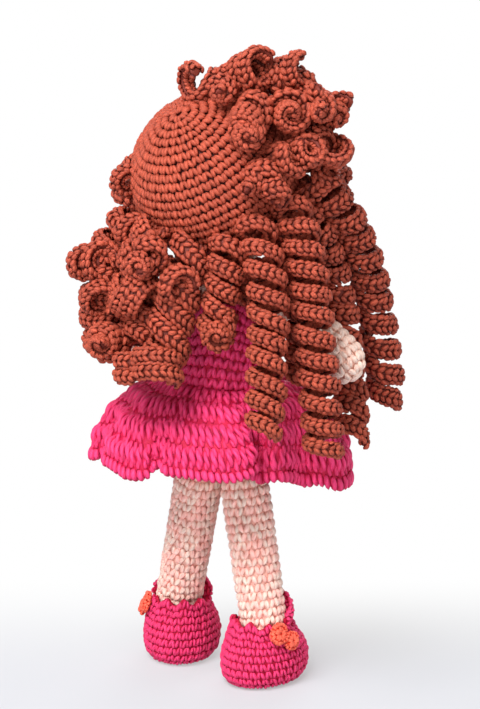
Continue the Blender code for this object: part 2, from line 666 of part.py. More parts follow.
def build_bodice(yarn):
    """The close-fitting top of the dress, cut lower at the sides for the arms."""
    angle = turn(TORSO_SIDES)
    top = BODICE_TOP - ARMHOLE_DEPTH * np.abs(np.cos(angle)) ** 1.5

    def ring(share, offset):
        heights = WAISTLINE + share * (top - WAISTLINE)
        return np.array([torso_ring(height, offset, TORSO_SIDES)[corner]
                         for corner, height in enumerate(heights)])

    shares = np.linspace(0, 1, TORSO_SIDES // 2)
    outer = [ring(share, FABRIC + BODICE_EASE) for share in shares]
    inner = [ring(share, BODICE_EASE) for share in reversed(shares)]
    add_mesh("dress_bodice", *loft(outer + inner, closed=True), yarn)


def fold_depth(angle):
    """How far the skirt is drawn in at an angle, as a share of its width: a sum of valleys."""
    depth = np.zeros_like(angle)
    for place, half_width, deep in FOLD_SHARES:
        away = np.abs((angle / (2 * math.pi) - place + 0.5) % 1 - 0.5) / half_width
        depth += deep * (1 + np.cos(np.pi * np.minimum(away, 1))) / 2
    return depth


def skirt_ring(drop, flare, inset):
    """A ring of the skirt: out and down from the waist, folded more towards the hem."""
    angle = turn(SKIRT_SIDES)
    waist_width, waist_depth = (size + FABRIC + BODICE_EASE for size in torso_radii(WAISTLINE))
    folds = fold_depth(angle) * flare ** 1.5
    width = (waist_width + flare * (HEM_HALF_WIDTH - waist_width)) * (1 - folds)
    depth = (waist_depth + flare * (HEM_HALF_DEPTH - waist_depth)) * (1 - folds)
    hem = HEM_SIDE_HEIGHT + HEM_BACK_RISE * np.maximum(np.sin(angle), 0)
    hem = hem - RUFFLE_DROP * (1 - fold_depth(angle) / FOLD_LIMIT_SHARE) * flare
    slope = math.atan2(WAISTLINE - HEM_SIDE_HEIGHT, HEM_HALF_WIDTH - waist_width)
    middle = spine(WAISTLINE) * (1 - flare)
    ring = np.empty((SKIRT_SIDES, 3))
    ring[:, 0] = middle[0] + (width - inset * math.sin(slope)) * np.cos(angle)
    ring[:, 1] = (depth - inset * math.sin(slope)) * np.sin(angle)
    ring[:, 2] = WAISTLINE - GAP - drop * (WAISTLINE - hem) - inset * math.cos(slope)
    return ring


def build_skirt(yarn):
    """The flared skirt: one sheet with its main folds, open above and below."""
    outer = [skirt_ring(drop, flare, 0) for drop, flare in SKIRT_SHARES]
    inner = [skirt_ring(drop, flare, FABRIC) for drop, flare in reversed(SKIRT_SHARES)]
    add_mesh("dress_skirt", *loft(outer + inner, closed=True), yarn)


def stand_on_origin():
    """Move the doll until the bottom centre of its box is the origin, and print its joints."""
    bpy.context.view_layer.update()
    graph = bpy.context.evaluated_depsgraph_get()
    corners = []
    for obj in bpy.context.scene.objects:
        if not obj.hide_render:
            mesh = obj.evaluated_get(graph).to_mesh()
            places = np.empty(len(mesh.vertices) * 3, dtype=np.float32)
            mesh.vertices.foreach_get("co", places)
            places = places.reshape(-1, 3) + np.array(obj.location)
            corners += [places.min(axis=0), places.max(axis=0)]
    low, high = np.min(corners, axis=0), np.max(corners, axis=0)
    shift = Vector((-(low[0] + high[0]) / 2, -(low[1] + high[1]) / 2, -low[2]))
    for obj in bpy.context.scene.objects:
        obj.location += shift
    print("shift", np.round(np.array(shift), 5), "size", np.round(high - low, 5))
    for name in ("head", "arm_left", "arm_right", "leg_left", "leg_right"):
        print("joint of", name, [round(value, 6) for value in bpy.data.objects[name].location])


def build_doll():
    """Every piece of the doll."""
    clear_scene()
    skin = make_material("skin_yarn", SKIN, 0.9)
    hair = make_material("hair_yarn", HAIR, 0.8)
    pink = make_material("dress_yarn", PINK, 0.85)
    orange = make_material("bow_yarn", ORANGE, 0.85)
    filling = make_material("filling", FILLING, 1.0)
    gloss = make_material("eye_plastic", BLACK, 0.1)
    washer = make_material("washer_plastic", WASHER_WHITE, 0.4)
    mouth = make_material("mouth_yarn", MOUTH_RED, 0.8)

    build_torso(skin, filling)
    shell, ball = build_head(skin, filling)
    build_nose(skin)
    build_mouth(mouth)
    build_cap(hair)
    build_ringlets(hair)
    build_bodice(pink)
    build_skirt(pink)
    for side, sign in (("left", 1), ("right", -1)):
        build_eye(side, sign, shell, ball, gloss, washer)
        build_arm(side, sign, skin, filling)
        build_leg(side, sign, skin, filling)
        build_shoe(side, sign, pink)
        build_strap(side, sign, pink)
        build_bow(side, sign, orange)
    stand_on_origin()


build_doll()
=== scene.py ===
import json
import math

import bpy
import numpy as np
from mathutils import Matrix, Vector


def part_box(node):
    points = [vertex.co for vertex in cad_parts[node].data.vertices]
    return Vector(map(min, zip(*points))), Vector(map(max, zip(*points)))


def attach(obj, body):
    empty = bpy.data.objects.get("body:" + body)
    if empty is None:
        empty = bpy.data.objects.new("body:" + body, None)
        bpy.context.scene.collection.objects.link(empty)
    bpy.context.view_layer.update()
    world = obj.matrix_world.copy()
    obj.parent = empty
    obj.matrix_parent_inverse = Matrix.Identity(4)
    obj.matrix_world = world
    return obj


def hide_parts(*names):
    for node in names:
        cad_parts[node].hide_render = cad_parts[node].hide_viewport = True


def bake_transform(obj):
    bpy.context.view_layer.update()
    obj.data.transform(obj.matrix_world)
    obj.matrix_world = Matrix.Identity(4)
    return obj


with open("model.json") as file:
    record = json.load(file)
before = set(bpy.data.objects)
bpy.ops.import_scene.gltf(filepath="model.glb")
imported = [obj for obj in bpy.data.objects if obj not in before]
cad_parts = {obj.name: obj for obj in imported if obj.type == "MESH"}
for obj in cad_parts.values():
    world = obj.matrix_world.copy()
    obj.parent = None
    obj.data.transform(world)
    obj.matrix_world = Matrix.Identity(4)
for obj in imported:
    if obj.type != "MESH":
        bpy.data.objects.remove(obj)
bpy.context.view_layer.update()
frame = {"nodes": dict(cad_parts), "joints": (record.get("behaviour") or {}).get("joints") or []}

# The doll stands over the point midway between its hips, so every place below is measured
# from there: +X is its left, -Y is the way it faces, and heights are from the floor.
HIP_SPACING, HIP_HEIGHT = 0.023, 0.084
hip = next(joint for joint in frame["joints"] if joint["name"] == "leg_swing_left")
standing_point = np.array(hip["pos_m"]) - (HIP_SPACING / 2, 0, HIP_HEIGHT)
LEVEL_UP = np.array((0, 0, 1.0))

# The head is a stuffed ball of single crochet in cream yarn, worked in rounds from the crown
# down. Each stitch shows as a plump V whose two legs dive under the round above.
# half a strand's width and height, its rise off the fabric, and how far inside the CAD's skin
# the fabric lies under it
STRAND_WIDTH, STRAND_HEIGHT, STRAND_RISE, STITCH_DEPTH = 0.00145, 0.00120, 0.0011, 0.0012
STRAND_SIDES, UV_LENGTH = 6, 0.0022
strand_steps = np.linspace(0, 1, 7)


def unit(vectors):
    """Each vector over its own length."""
    return vectors / np.maximum(np.linalg.norm(vectors, axis=-1, keepdims=True), 1e-12)


def angles(sides):
    """Even angles round a circle."""
    return np.arange(sides) * 2 * np.pi / sides


def distances(points):
    """How far along a line each of its points is, or each of its rings on average."""
    steps = np.linalg.norm(np.diff(points, axis=0), axis=-1)
    return np.concatenate([[0], np.cumsum(steps.reshape(len(steps), -1).mean(axis=1))])


def round_grid(points):
    """A grid of rings and its outward normals.

    The normal is the cross product of the step round the ring and the step to the next ring,
    turned away from the ring's middle.
    """
    round_step = np.roll(points, -1, axis=1) - np.roll(points, 1, axis=1)
    normals = unit(np.cross(round_step, np.gradient(points, axis=0)))
    outward = points - points.mean(axis=1, keepdims=True)
    normals *= np.sign((normals * outward).sum(axis=-1).mean()) or 1
    return points, normals


def read_grid(grid, turn, place):
    """Points and normals at shares of a turn and of the way along, blended from four neighbours."""
    points, normals = grid
    rings, sides = points.shape[:2]
    column, row = (turn % 1) * sides, np.clip(place, 0, 1) * (rings - 1)
    left, low = np.floor(column).astype(int), np.minimum(np.floor(row).astype(int), rings - 2)
    across, up = (column - left)[..., None], (row - low)[..., None]
    left, right = left % sides, (left + 1) % sides

    def blend(values):
        near = values[low, left] * (1 - across) + values[low, right] * across
        far = values[low + 1, left] * (1 - across) + values[low + 1, right] * across
        return near * (1 - up) + far * up

    return blend(points), unit(blend(normals))


def ring_length(grid, place, samples=241):
    """The length round a grid at a share of the way along it."""
    return distances(read_grid(grid, np.linspace(0, 1, samples), np.full(samples, place))[0])[-1]


def shell(grid, sink=0.0, shade=0.1):
    """The closed skin of a grid, sunk by a length, with a point at the middle of each end. Its
    shade is painted shade: a low one makes it a dark sheet in the gaps between the stitches on it.
    """
    points, normals = grid
    rings, sides = points.shape[:2]
    skin = points - sink * normals
    verts = np.concatenate([skin.reshape(-1, 3), skin[:1].mean(axis=1), skin[-1:].mean(axis=1)])
    ring, side = np.meshgrid(np.arange(rings - 1), np.arange(sides), indexing="ij")
    after = (side + 1) % sides
    quads = np.stack([ring * sides + side, ring * sides + after,
                      (ring + 1) * sides + after, (ring + 1) * sides + side], -1).reshape(-1, 4)
    corner = np.arange(sides)
    foot, top = rings * sides, rings * sides + 1
    tris = np.concatenate([
        np.stack([np.full(sides, foot), (corner + 1) % sides, corner], -1),
        np.stack([np.full(sides, top), (rings - 1) * sides + corner,
                  (rings - 1) * sides + (corner + 1) % sides], -1)])
    first = verts[quads[:, 0]]
    turned = np.cross(verts[quads[:, 1]] - first, verts[quads[:, 3]] - first)
    if (turned * (first - verts.mean(axis=0))).sum() < 0:
        quads, tris = quads[:, ::-1], tris[:, ::-1]
    flat = np.zeros((len(quads), 4, 2)), np.zeros((len(tris), 3, 2))
    return verts, quads, tris, flat, np.full(len(verts), shade), np.full(len(verts), 0.5)


def fabric(outer, inner, shade=0.1, open_start=False):
    """The skin of a cup or, where its start is open too, of a tube, from its two faces' rings. Its
    shade is painted shade, as for a shell.
    """
    points = np.concatenate([outer, inner[::-1]] + [outer[:1]] * open_start)
    return shell((points, np.zeros_like(points)), shade=shade)


def strands(grid, turn, place, lift, width, height, rng):
    """Closed plump strands of yarn that lie on a grid, one for each row of turn and place.

    A strand's middle line is the grid's point plus the lift along its normal. Each ring is an
    ellipse: the half width across the strand times a cosine, plus the half height along the
    normal times a sine. The two ends are poles. Shade is painted shade: 1 on top and 0
    underneath, and lower where the strand dips into the furrow between rows.
    """
    points, normals = read_grid(grid, turn, place)
    path = points + lift[..., None] * normals
    count, steps = path.shape[:2]
    along = unit(np.gradient(path, axis=1))
    across = unit(np.cross(along, normals))
    upward = np.cross(across, along)
    sides, angle = STRAND_SIDES, angles(STRAND_SIDES)
    wide = np.broadcast_to(width, (count, steps))[:, 1:-1, None, None] * np.cos(angle)[:, None]
    high = np.broadcast_to(height, (count, steps))[:, 1:-1, None, None] * np.sin(angle)[:, None]
    rings = path[:, 1:-1, None] + wide * across[:, 1:-1, None] + high * upward[:, 1:-1, None]
    verts = np.concatenate([path[:, :1], rings.reshape(count, -1, 3), path[:, -1:]], axis=1)
    each = verts.shape[1]

    ring, side = np.meshgrid(np.arange(steps - 3), np.arange(sides), indexing="ij")
    ring, side = ring.ravel(), side.ravel()
    after = (side + 1) % sides
    quad = 1 + np.stack([ring * sides + side, (ring + 1) * sides + side,
                         (ring + 1) * sides + after, ring * sides + after], -1)
    corner = np.arange(sides)
    last = 1 + (steps - 3) * sides
    start = np.stack([np.zeros(sides, int), 1 + corner, 1 + (corner + 1) % sides], -1)
    end = np.stack([last + corner, np.full(sides, each - 1), last + (corner + 1) % sides], -1)
    offset = (np.arange(count) * each)[:, None, None]

    run = np.cumsum(np.linalg.norm(np.diff(path, axis=1), axis=-1), axis=1) / UV_LENGTH
    run = np.concatenate([np.zeros((count, 1)), run], axis=1)
    around = np.stack([side, side, side + 1, side + 1], -1) / sides
    quad_run = np.stack([run[:, ring + 1], run[:, ring + 2], run[:, ring + 2], run[:, ring + 1]], -1)
    quad_uv = np.stack([quad_run, np.broadcast_to(around, quad_run.shape)], -1).reshape(-1, 4, 2)
    ones = np.ones((1, sides))
    tri_uv = []
    for columns, places in (((0, 1, 1), (corner + 0.5, corner, corner + 1)),
                            ((-2, -1, -2), (corner, corner + 0.5, corner + 1))):
        end_run = np.stack([run[:, [column]] * ones for column in columns], -1)
        tri_uv.append(np.stack([end_run, np.broadcast_to(np.stack(places, -1) / sides, end_run.shape)], -1))
    tri_uv = np.concatenate(tri_uv, axis=1).reshape(-1, 3, 2)

    rise = np.broadcast_to(lift, (count, steps))
    rise = (rise - rise.min()) / max(rise.max() - rise.min(), 1e-9)
    # painted shade: lighter on top of the strand, darker underneath and where it dips into the furrow
    top = (0.45 + 0.55 * rise[:, 1:-1, None]) * (0.5 + 0.5 * np.sin(angle))
    shade = np.concatenate([0.3 * rise[:, :1], top.reshape(count, -1), 0.3 * rise[:, -1:]], axis=1).ravel()
    tone = np.repeat(rng.random(count), each)
    return (verts.reshape(-1, 3), (quad + offset).reshape(-1, 4),
            (np.concatenate([start, end]) + offset).reshape(-1, 3), (quad_uv, tri_uv), shade, tone)


def knit_piece(name, parts, material):
    """One mesh object from skins and strands, with its UV map and its shade and tone."""
    offsets = np.cumsum([0] + [len(part[0]) for part in parts[:-1]])
    verts = np.concatenate([part[0] for part in parts]) + standing_point
    quads, tris = (np.concatenate([part[index] + offset for part, offset in zip(parts, offsets)])
                   for index in (1, 2))
    mesh = bpy.data.meshes.new(name)
    mesh.vertices.add(len(verts))
    mesh.vertices.foreach_set("co", verts.astype(np.float32).ravel())
    mesh.loops.add(quads.size + tris.size)
    mesh.loops.foreach_set("vertex_index", np.concatenate([quads.ravel(), tris.ravel()]).astype(np.int32))
    mesh.polygons.add(len(quads) + len(tris))
    starts = np.concatenate([np.arange(len(quads)) * 4, quads.size + np.arange(len(tris)) * 3])
    mesh.polygons.foreach_set("loop_start", starts.astype(np.int32))
    mesh.update(calc_edges=True)
    uv = np.concatenate([part[3][index].ravel() for index in (0, 1) for part in parts])
    mesh.uv_layers.new(name="along_yarn").data.foreach_set("uv", uv.astype(np.float32))
    for label, index in (("shade", 4), ("tone", 5)):
        values = np.concatenate([part[index] for part in parts]).astype(np.float32)
        mesh.attributes.new(label, "FLOAT", "POINT").data.foreach_set("value", values)
    mesh.shade_smooth()
    mesh.materials.append(material)
    piece = bpy.data.objects.new(name, mesh)
    bpy.context.scene.collection.objects.link(piece)
    return piece


def node(tree, kind, inputs=None, **settings):
    """A new shader node. An input, by name or number, takes a value or another node's output."""
    made = tree.nodes.new(kind)
    for label, value in settings.items():
        setattr(made, label, value)
    for label, value in (inputs or {}).items():
        if isinstance(value, bpy.types.NodeSocket):
            tree.links.new(value, made.inputs[label])
        else:
            made.inputs[label].default_value = value
    return made


def maths(tree, operation, *values):
    """The result of one sum on numbers or other nodes' outputs."""
    return node(tree, "ShaderNodeMath", dict(enumerate(values)), operation=operation).outputs[0]


def noise(tree, scale, detail):
    """Smooth noise in the object's own space, at a scale per metre."""
    where = node(tree, "ShaderNodeTexCoord").outputs["Object"]
    cloud = node(tree, "ShaderNodeTexNoise", {"Vector": where, "Scale": scale, "Detail": detail})
    return cloud.outputs["Fac"]


def mixed(tree, share, first, second):
    """Two colours mixed by a share. Each is a plain colour or another node's output."""
    first, second = ((*colour, 1) if isinstance(colour, tuple) else colour for colour in (first, second))
    return node(tree, "ShaderNodeMix", {0: share, 6: first, 7: second}, data_type="RGBA").outputs[2]


PLIES, SLANT = 3.0, 0.42
DYE_SCALE, FIBRE_SCALE, MOTTLE_SCALE = 260.0, 2600.0, 210.0


def yarn(name, light, shade_colour, second=None, sheen=0.05):
    """Twisted matt yarn: plies that wind round the strand, painted shade in the grooves between plies, and uneven
    dye.

    A ridge is the absolute sine of the place round and along the strand, to a power. Its height
    times the strand's painted shade mixes the shade colour into the light one, or into light
    patches of two colours, so that only the tops of strands keep the light colour.
    """
    material = bpy.data.materials.new(name)
    material.use_nodes = True
    tree = material.node_tree
    shader = tree.nodes["Principled BSDF"]
    shade, tone = (node(tree, "ShaderNodeAttribute", attribute_name=label).outputs["Fac"]
                   for label in ("shade", "tone"))
    along, around = node(tree, "ShaderNodeSeparateXYZ", {
        0: node(tree, "ShaderNodeUVMap", uv_map="along_yarn").outputs[0]}).outputs[:2]
    twist = maths(tree, "MULTIPLY_ADD", around, PLIES, maths(tree, "MULTIPLY", along, SLANT))
    wave = maths(tree, "SINE", maths(tree, "MULTIPLY", twist, math.pi))
    ridge = maths(tree, "POWER", maths(tree, "ABSOLUTE", wave), 0.6)

    lit = light
    if second is not None:
        mottle = maths(tree, "MULTIPLY_ADD", noise(tree, MOTTLE_SCALE, 1.5), 0.75,
                       maths(tree, "MULTIPLY", tone, 0.25))
        patch = node(tree, "ShaderNodeMapRange", {"Value": mottle, "From Min": 0.40, "From Max": 0.62})
        lit = mixed(tree, patch.outputs[0], light, second)
    # painted shade: the strand's shade and the grooves between plies mix in the shade colour; only raised tops
    # keep the light colour
    height = node(tree, "ShaderNodeMapRange", {"Value": shade, "From Min": 0.20, "From Max": 1.00}).outputs[0]
    lit_share = maths(tree, "MULTIPLY", height, maths(tree, "MULTIPLY_ADD", ridge, 0.35, 0.65))
    bright = maths(tree, "MULTIPLY_ADD", noise(tree, DYE_SCALE, 3.0), 0.36,
                   maths(tree, "MULTIPLY_ADD", tone, 0.16, 0.74))
    shaded_and_dyed = node(tree, "ShaderNodeHueSaturation", {"Color": mixed(tree, lit_share, shade_colour, lit), "Value": bright})
    relief = maths(tree, "MULTIPLY_ADD", noise(tree, FIBRE_SCALE, 2.0), 0.7, ridge)
    bump = node(tree, "ShaderNodeBump", {"Height": relief, "Strength": 0.55, "Distance": 0.00035})
    tree.links.new(shaded_and_dyed.outputs[0], shader.inputs["Base Color"])
    tree.links.new(bump.outputs[0], shader.inputs["Normal"])
    shader.inputs["Roughness"].default_value = 0.60
    shader.inputs["Specular IOR Level"].default_value = 0.28
    shader.inputs["Sheen Weight"].default_value = sheen
    shader.inputs["Sheen Roughness"].default_value = 0.45
    shader.inputs["Sheen Tint"].default_value = (*light, 1)
    return material


def varied(rng, amount, count):
    """A chance difference of a usual amount, one for each strand."""
    return amount * rng.normal(size=(count, 1))


def bulge(power=0.65):
    """A strand's outline: a half sine to a power, thin at both ends."""
    return np.sin(np.pi * (0.05 + 0.90 * strand_steps)) ** power


def v_stitches(grid, rng, stitch, row, keep=None, plump=1.0, first=0.0, last=1.0, lean=0.10, spread=0.33,
               rise=1.06, fat=1.0):
    """Rounds of single crochet on a grid: each stitch is a V of two strands.

    A leg runs from the foot of the stitch, near its middle, up and outwards to the next
    round. Its lift is a half sine, so that both ends are tucked in the furrow between rounds.
    The V is as open as the spread, and leans to one side by a share of the stitch.
    """
    steps = strand_steps
    rounds = max(1, int(round((last - first) * distances(grid[0])[-1] / row)))
    turns, places = [], []
    for index in range(rounds):
        middle = first + (index + 0.5) * (last - first) / rounds
        count = max(5, int(round(ring_length(grid, middle, 73) / stitch)))
        column = (np.arange(count) + 0.37 * index) / count
        for sign in (-1, 1):
            sideways = sign * (0.25 + (spread + varied(rng, 0.05, count)) * (steps ** 0.85 - 0.5))
            sideways = sideways + lean * (steps - 0.5) + varied(rng, 0.035, count)
            turns.append(column[:, None] + sideways / count)
            upward = rise * (steps - 0.5) - 0.01 + varied(rng, 0.035, count)
            places.append(middle + upward * (last - first) / rounds)
    turn, place = np.concatenate(turns), np.concatenate(places)
    if keep is not None:
        centre, _ = read_grid(grid, turn[:, 3], place[:, 3])
        chosen = keep(centre)
        turn, place = turn[chosen], place[chosen]
    size = plump * (1 + varied(rng, 0.07, len(turn)))
    lift = STRAND_RISE * plump * (bulge() * 1.6 - 0.9) + varied(rng, 0.00012, len(turn))
    return strands(grid, turn, place, lift, STRAND_WIDTH * fat * size * (0.35 + 0.65 * bulge()),
                   STRAND_HEIGHT * size * (0.5 + 0.5 * bulge()), rng)


def ball_grid(centre, axes, radius, start, end, rings=120, sides=144):
    """Rings of a ball from one polar angle to another, about the third of its axes."""
    polar, angle = np.linspace(start, end, rings)[:, None], angles(sides)
    local = np.stack([np.sin(polar) * np.cos(angle), np.sin(polar) * np.sin(angle),
                      np.cos(polar) * np.ones_like(angle)], -1)
    return round_grid(centre + radius * local @ axes.T)


HEAD_RADIUS, HEAD_ROLL, HEAD_PITCH, HEAD_RISE = 0.0336, 15, -4, 0.03195
NECK = np.array((-0.0075, 0, 0.193))
head_axes = np.array(Matrix.Rotation(math.radians(HEAD_ROLL), 3, "Y")
                     @ Matrix.Rotation(math.radians(HEAD_PITCH), 3, "X"))
head_centre = NECK + head_axes @ (0, 0, HEAD_RISE)
CAP_RADIUS, CAP_SIDE_ANGLE, CAP_EDGE_SWING, CAP_AXIS_RISE = 0.0368, 108, 13, math.radians(25)
cap_pole = head_axes @ (0, math.cos(CAP_AXIS_RISE), math.sin(CAP_AXIS_RISE))
cap_up = head_axes @ (0, -math.sin(CAP_AXIS_RISE), math.cos(CAP_AXIS_RISE))


def cap_edge(turn):
    """The polar angle in degrees of the cap's edge from the cap's pole: a middle value plus a
    swing times the cosine of the turn from the top."""
    return CAP_SIDE_ANGLE + CAP_EDGE_SWING * np.cos(turn)


def inside_cap(points, margin):
    """Whether each point lies within the cap's edge by a margin in degrees."""
    away = unit(points - head_centre)
    polar = np.degrees(np.arccos(np.clip(away @ cap_pole, -1, 1)))
    return polar < cap_edge(np.arctan2(away @ head_axes[:, 0], away @ cap_up)) - margin


# the second colour of each yarn is its painted shade, for strand undersides, ply grooves and gaps between
# stitches
cream = yarn("cream_yarn", (1.0, 0.80, 0.69), (0.94, 0.57, 0.45))
rng = np.random.default_rng(11)
face_grid = ball_grid(head_centre, head_axes, HEAD_RADIUS - STITCH_DEPTH, 0.03, math.radians(162))
head_ball = knit_piece("head_crochet", [
    shell(face_grid, 0.0004),
    v_stitches(face_grid, rng, 0.0046, 0.0040, keep=lambda points: ~inside_cap(points, 9), fat=0.92)], cream)
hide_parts("head", "head_stuffing")
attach(head_ball, "head")


# The face: two black plastic eyes pushed through the fabric and held by washers inside, a
# small nose sewn in skin yarn, and a smile embroidered in one strand.
DUST_SCALE, DUSTY = 900.0, 0.16


def moulded(name, colour, roughness, speck):
    """Moulded plastic with a slightly uneven skin, and fine dust that dulls it in places."""
    material = bpy.data.materials.new(name)
    material.use_nodes = True
    tree = material.node_tree
    shader = tree.nodes["Principled BSDF"]
    cloud = noise(tree, DUST_SCALE, 4.0)
    dull = node(tree, "ShaderNodeMapRange", {
        "Value": cloud, "To Min": roughness, "To Max": roughness + DUSTY})
    tree.links.new(dull.outputs[0], shader.inputs["Roughness"])
    tree.links.new(mixed(tree, cloud, colour, speck), shader.inputs["Base Color"])
    shader.inputs["Coat Weight"].default_value = 0.4
    shader.inputs["Coat Roughness"].default_value = 0.08
    return material


eye_gloss = moulded("eye_gloss", (0.006, 0.005, 0.005), 0.05, (0.020, 0.016, 0.015))
washer_white = moulded("washer_white", (0.80, 0.80, 0.77), 0.30, (0.66, 0.66, 0.63))
for side in ("left", "right"):
    for name, finish in (("eye_" + side, eye_gloss), ("eye_washer_" + side, washer_white)):
        for slot in frame["nodes"][name].material_slots:
            slot.material = finish


def face_direction(turn_angle, drop_angle):
    """A unit vector from the head's centre, turned to the doll's left of the face and dropped."""
    yaw, fall = np.radians(turn_angle), np.radians(drop_angle)
    local = np.stack([np.sin(yaw) * np.cos(fall), -np.cos(yaw) * np.cos(fall), -np.sin(fall) + 0 * yaw], -1)
    return local @ head_axes.T


def cord_grid(points, radius, sides=8):
    """Rings of a round cord along points, drawn to a dot at its ends."""
    along = unit(np.gradient(points, axis=0))
    side = unit(np.cross(along, points - head_centre + 1e-9))
    upward = np.cross(side, along)
    angle = angles(sides)[None, :, None]
    slim = radius * np.sqrt(np.clip(1 - np.linspace(-1, 1, len(points)) ** 6, 0.02, 1))[:, None, None]
    ring = np.cos(angle) * side[:, None] + np.sin(angle) * upward[:, None]
    return round_grid(points[:, None] + slim * ring)


SMILE_TURN, SMILE_DROP, SMILE_CURVE = 14.0, 31.0, 6.0
rng = np.random.default_rng(21)
# its second colour is painted shade
smile_red = yarn("smile_yarn", (0.72, 0.10, 0.10), (0.34, 0.02, 0.03))
share = np.linspace(-1, 1, 49)
smile_line = head_centre + (HEAD_RADIUS + 0.0009) * face_direction(
    share * SMILE_TURN, SMILE_DROP - SMILE_CURVE * share ** 2)
smile = knit_piece("smile", [shell(cord_grid(smile_line, 0.00055), shade=0.8)], smile_red)
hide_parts("mouth")
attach(smile, "head")

NOSE_DROP, NOSE_WIDTH, NOSE_HEIGHT, NOSE_DEPTH = 15.0, 0.0030, 0.0022, 0.0016
nose_way = face_direction(np.array(0.0), np.array(NOSE_DROP))
nose_across = head_axes[:, 0]
nose_up = np.cross(nose_way, nose_across)
polar, angle = np.linspace(0.15, 1.50, 24)[:, None, None], angles(48)[None, :, None]
nose_grid = round_grid(head_centre + nose_way * (HEAD_RADIUS + 0.0003 + NOSE_DEPTH * np.cos(polar))
                       + NOSE_WIDTH * np.sin(polar) * np.cos(angle) * nose_across
                       + NOSE_HEIGHT * np.sin(polar) * np.sin(angle) * nose_up)
nose = knit_piece("nose_crochet", [
    shell(nose_grid, 0.0002, shade=0.5), v_stitches(nose_grid, rng, 0.0024, 0.0016, plump=0.42)], cream)
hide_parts("nose")
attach(nose, "head")

# The wig cap is a cup of single crochet in russet yarn, worked in rounds from a ring at the
# crown, pulled over the back of the head and sewn on along its edge.
# its second colour, nearly black, is painted shade for the gaps between strands
russet = yarn("russet_yarn", (0.59, 0.104, 0.053), (0.06, 0.001, 0.0005))
crown_axis = unit(np.array((0.234, 0.537, 0.811)))
crown_side = unit(np.cross(crown_axis, (0, 1, 0)))
crown_axes = np.stack([crown_side, np.cross(crown_axis, crown_side), crown_axis], axis=1)
rng = np.random.default_rng(12)
cap_grid = ball_grid(head_centre, crown_axes, CAP_RADIUS - STITCH_DEPTH, 0.04, math.radians(168), 140, 180)


def cap_skin(radius):
    """Rings of the cap at shares of its edge's polar angle, from its pole to its edge."""
    around = angles(144)
    radial = np.cos(around)[:, None] * cap_up + np.sin(around)[:, None] * head_axes[:, 0]
    polar = np.linspace(0.01, 1, 60)[:, None, None] * np.radians(cap_edge(around))[None, :, None]
    return head_centre + radius * (np.cos(polar) * cap_pole + np.sin(polar) * radial)


cap = knit_piece("hair_cap_crochet", [
    fabric(cap_skin(CAP_RADIUS - 0.0017), cap_skin(CAP_RADIUS - 0.0028), shade=0.2),
    v_stitches(cap_grid, rng, 0.0036, 0.0038, keep=lambda points: inside_cap(points, 1.5), lean=0.18,
               spread=0.30, rise=0.98, fat=0.80)], russet)
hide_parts("hair_cap")
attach(cap, "head")


# The ringlets are narrow strips of single crochet in the same yarn. Each strip has more
# stitches on one edge than the other, so it winds up by itself, and it is sewn to the cap.
RINGLET_RADIUS, STRIP_PITCH = 0.0092, 0.0030
STRIP_WIDTH, STRIP_HEIGHT, STRIP_RISE = 0.00117, 0.00102, 0.0008
# half heights: a strip is thin from the first up, and has four rows on its face past the second
THIN_FROM, WIDE_PAST = 0.0028, 0.0034
# half thicknesses of a thick strip and a thin one
THICK, THIN = 0.0018, 0.0013
LEAN_WAY = (-0.906, -0.423, 0)


def bezier(corners, share):
    """Points of a cubic curve from its four corners."""
    share = np.asarray(share)[:, None]
    left = 1 - share
    return (left ** 3 * corners[0] + 3 * share * left ** 2 * corners[1]
            + 3 * share ** 2 * left * corners[2] + share ** 3 * corners[3])


def strip_grid(corners, turns, radius, rng, tall, thick, root, opening, tip, roll, lean, sides=20):
    """The skin of a strip wound in a helix round a curved middle line.

    The strip's middle is the line's point plus the radius times a unit vector that turns once
    per curl. The radius opens from a share at the root, and closes to a share at the tip over
    the last turns, called the roll. Each curl leans to one side by a share of the radius. The
    section is a rounded rectangle, half its thickness one way and half its height the other.
    """
    fine = np.linspace(0, 1, 800)
    run = distances(bezier(corners, fine))
    share = np.linspace(0, 1, int(turns * 30) + 1)
    knots = np.linspace(0, 1, int(turns) + 3)
    uneven = 0.10 / turns * np.interp(share, knots, rng.normal(size=len(knots))) * np.sin(np.pi * share)
    place = np.interp(np.clip(share + uneven, 0, 1) * run[-1], run, fine)
    centre = bezier(corners, place)
    ahead = unit(bezier(corners, np.minimum(place + 0.002, 1))
                 - bezier(corners, np.maximum(place - 0.002, 0)))
    guide = np.cross(corners[1] - corners[0], corners[3] - corners[0])
    if np.linalg.norm(guide) < 1e-9:
        guide = head_centre - corners[0]
    first = unit(guide - (ahead @ guide)[:, None] * ahead)
    second = np.cross(ahead, first)
    angle = -share * turns * 2 * np.pi
    swell = (np.interp(share * turns, [0, opening], [root, 1])
             * np.interp((1 - share) * turns, [0, roll], [tip, 1]))
    knots = np.linspace(0, 1, int(turns) * 2 + 3)
    wobble = 1 + 0.05 * np.interp(share, knots, rng.normal(size=len(knots)))
    reach = ((radius - thick - 0.0013) * swell * wobble)[:, None]
    radial = np.cos(angle)[:, None] * first + np.sin(angle)[:, None] * second
    line = centre + reach * (radial + lean * ((radial @ LEAN_WAY)[:, None] * ahead))
    along = unit(np.gradient(line, axis=0))
    out = unit(radial - (radial * along).sum(axis=1, keepdims=True) * along)
    side = np.cross(along, out)
    side *= np.sign((side * ahead).sum()) or 1
    ends = np.clip(np.minimum(share, 1 - share) * turns * 14, 0.003, 1)[:, None, None] ** 0.5
    cosine, sine = np.cos(angles(sides)), np.sin(angles(sides))
    box = (np.abs(cosine) ** 2.6 + np.abs(sine) ** 2.6) ** (-1 / 2.6)
    ring = (thick * (cosine * box)[None, :, None] * out[:, None]
            + tall * (sine * box)[None, :, None] * side[:, None])
    return round_grid(line[:, None] + ends * ring)


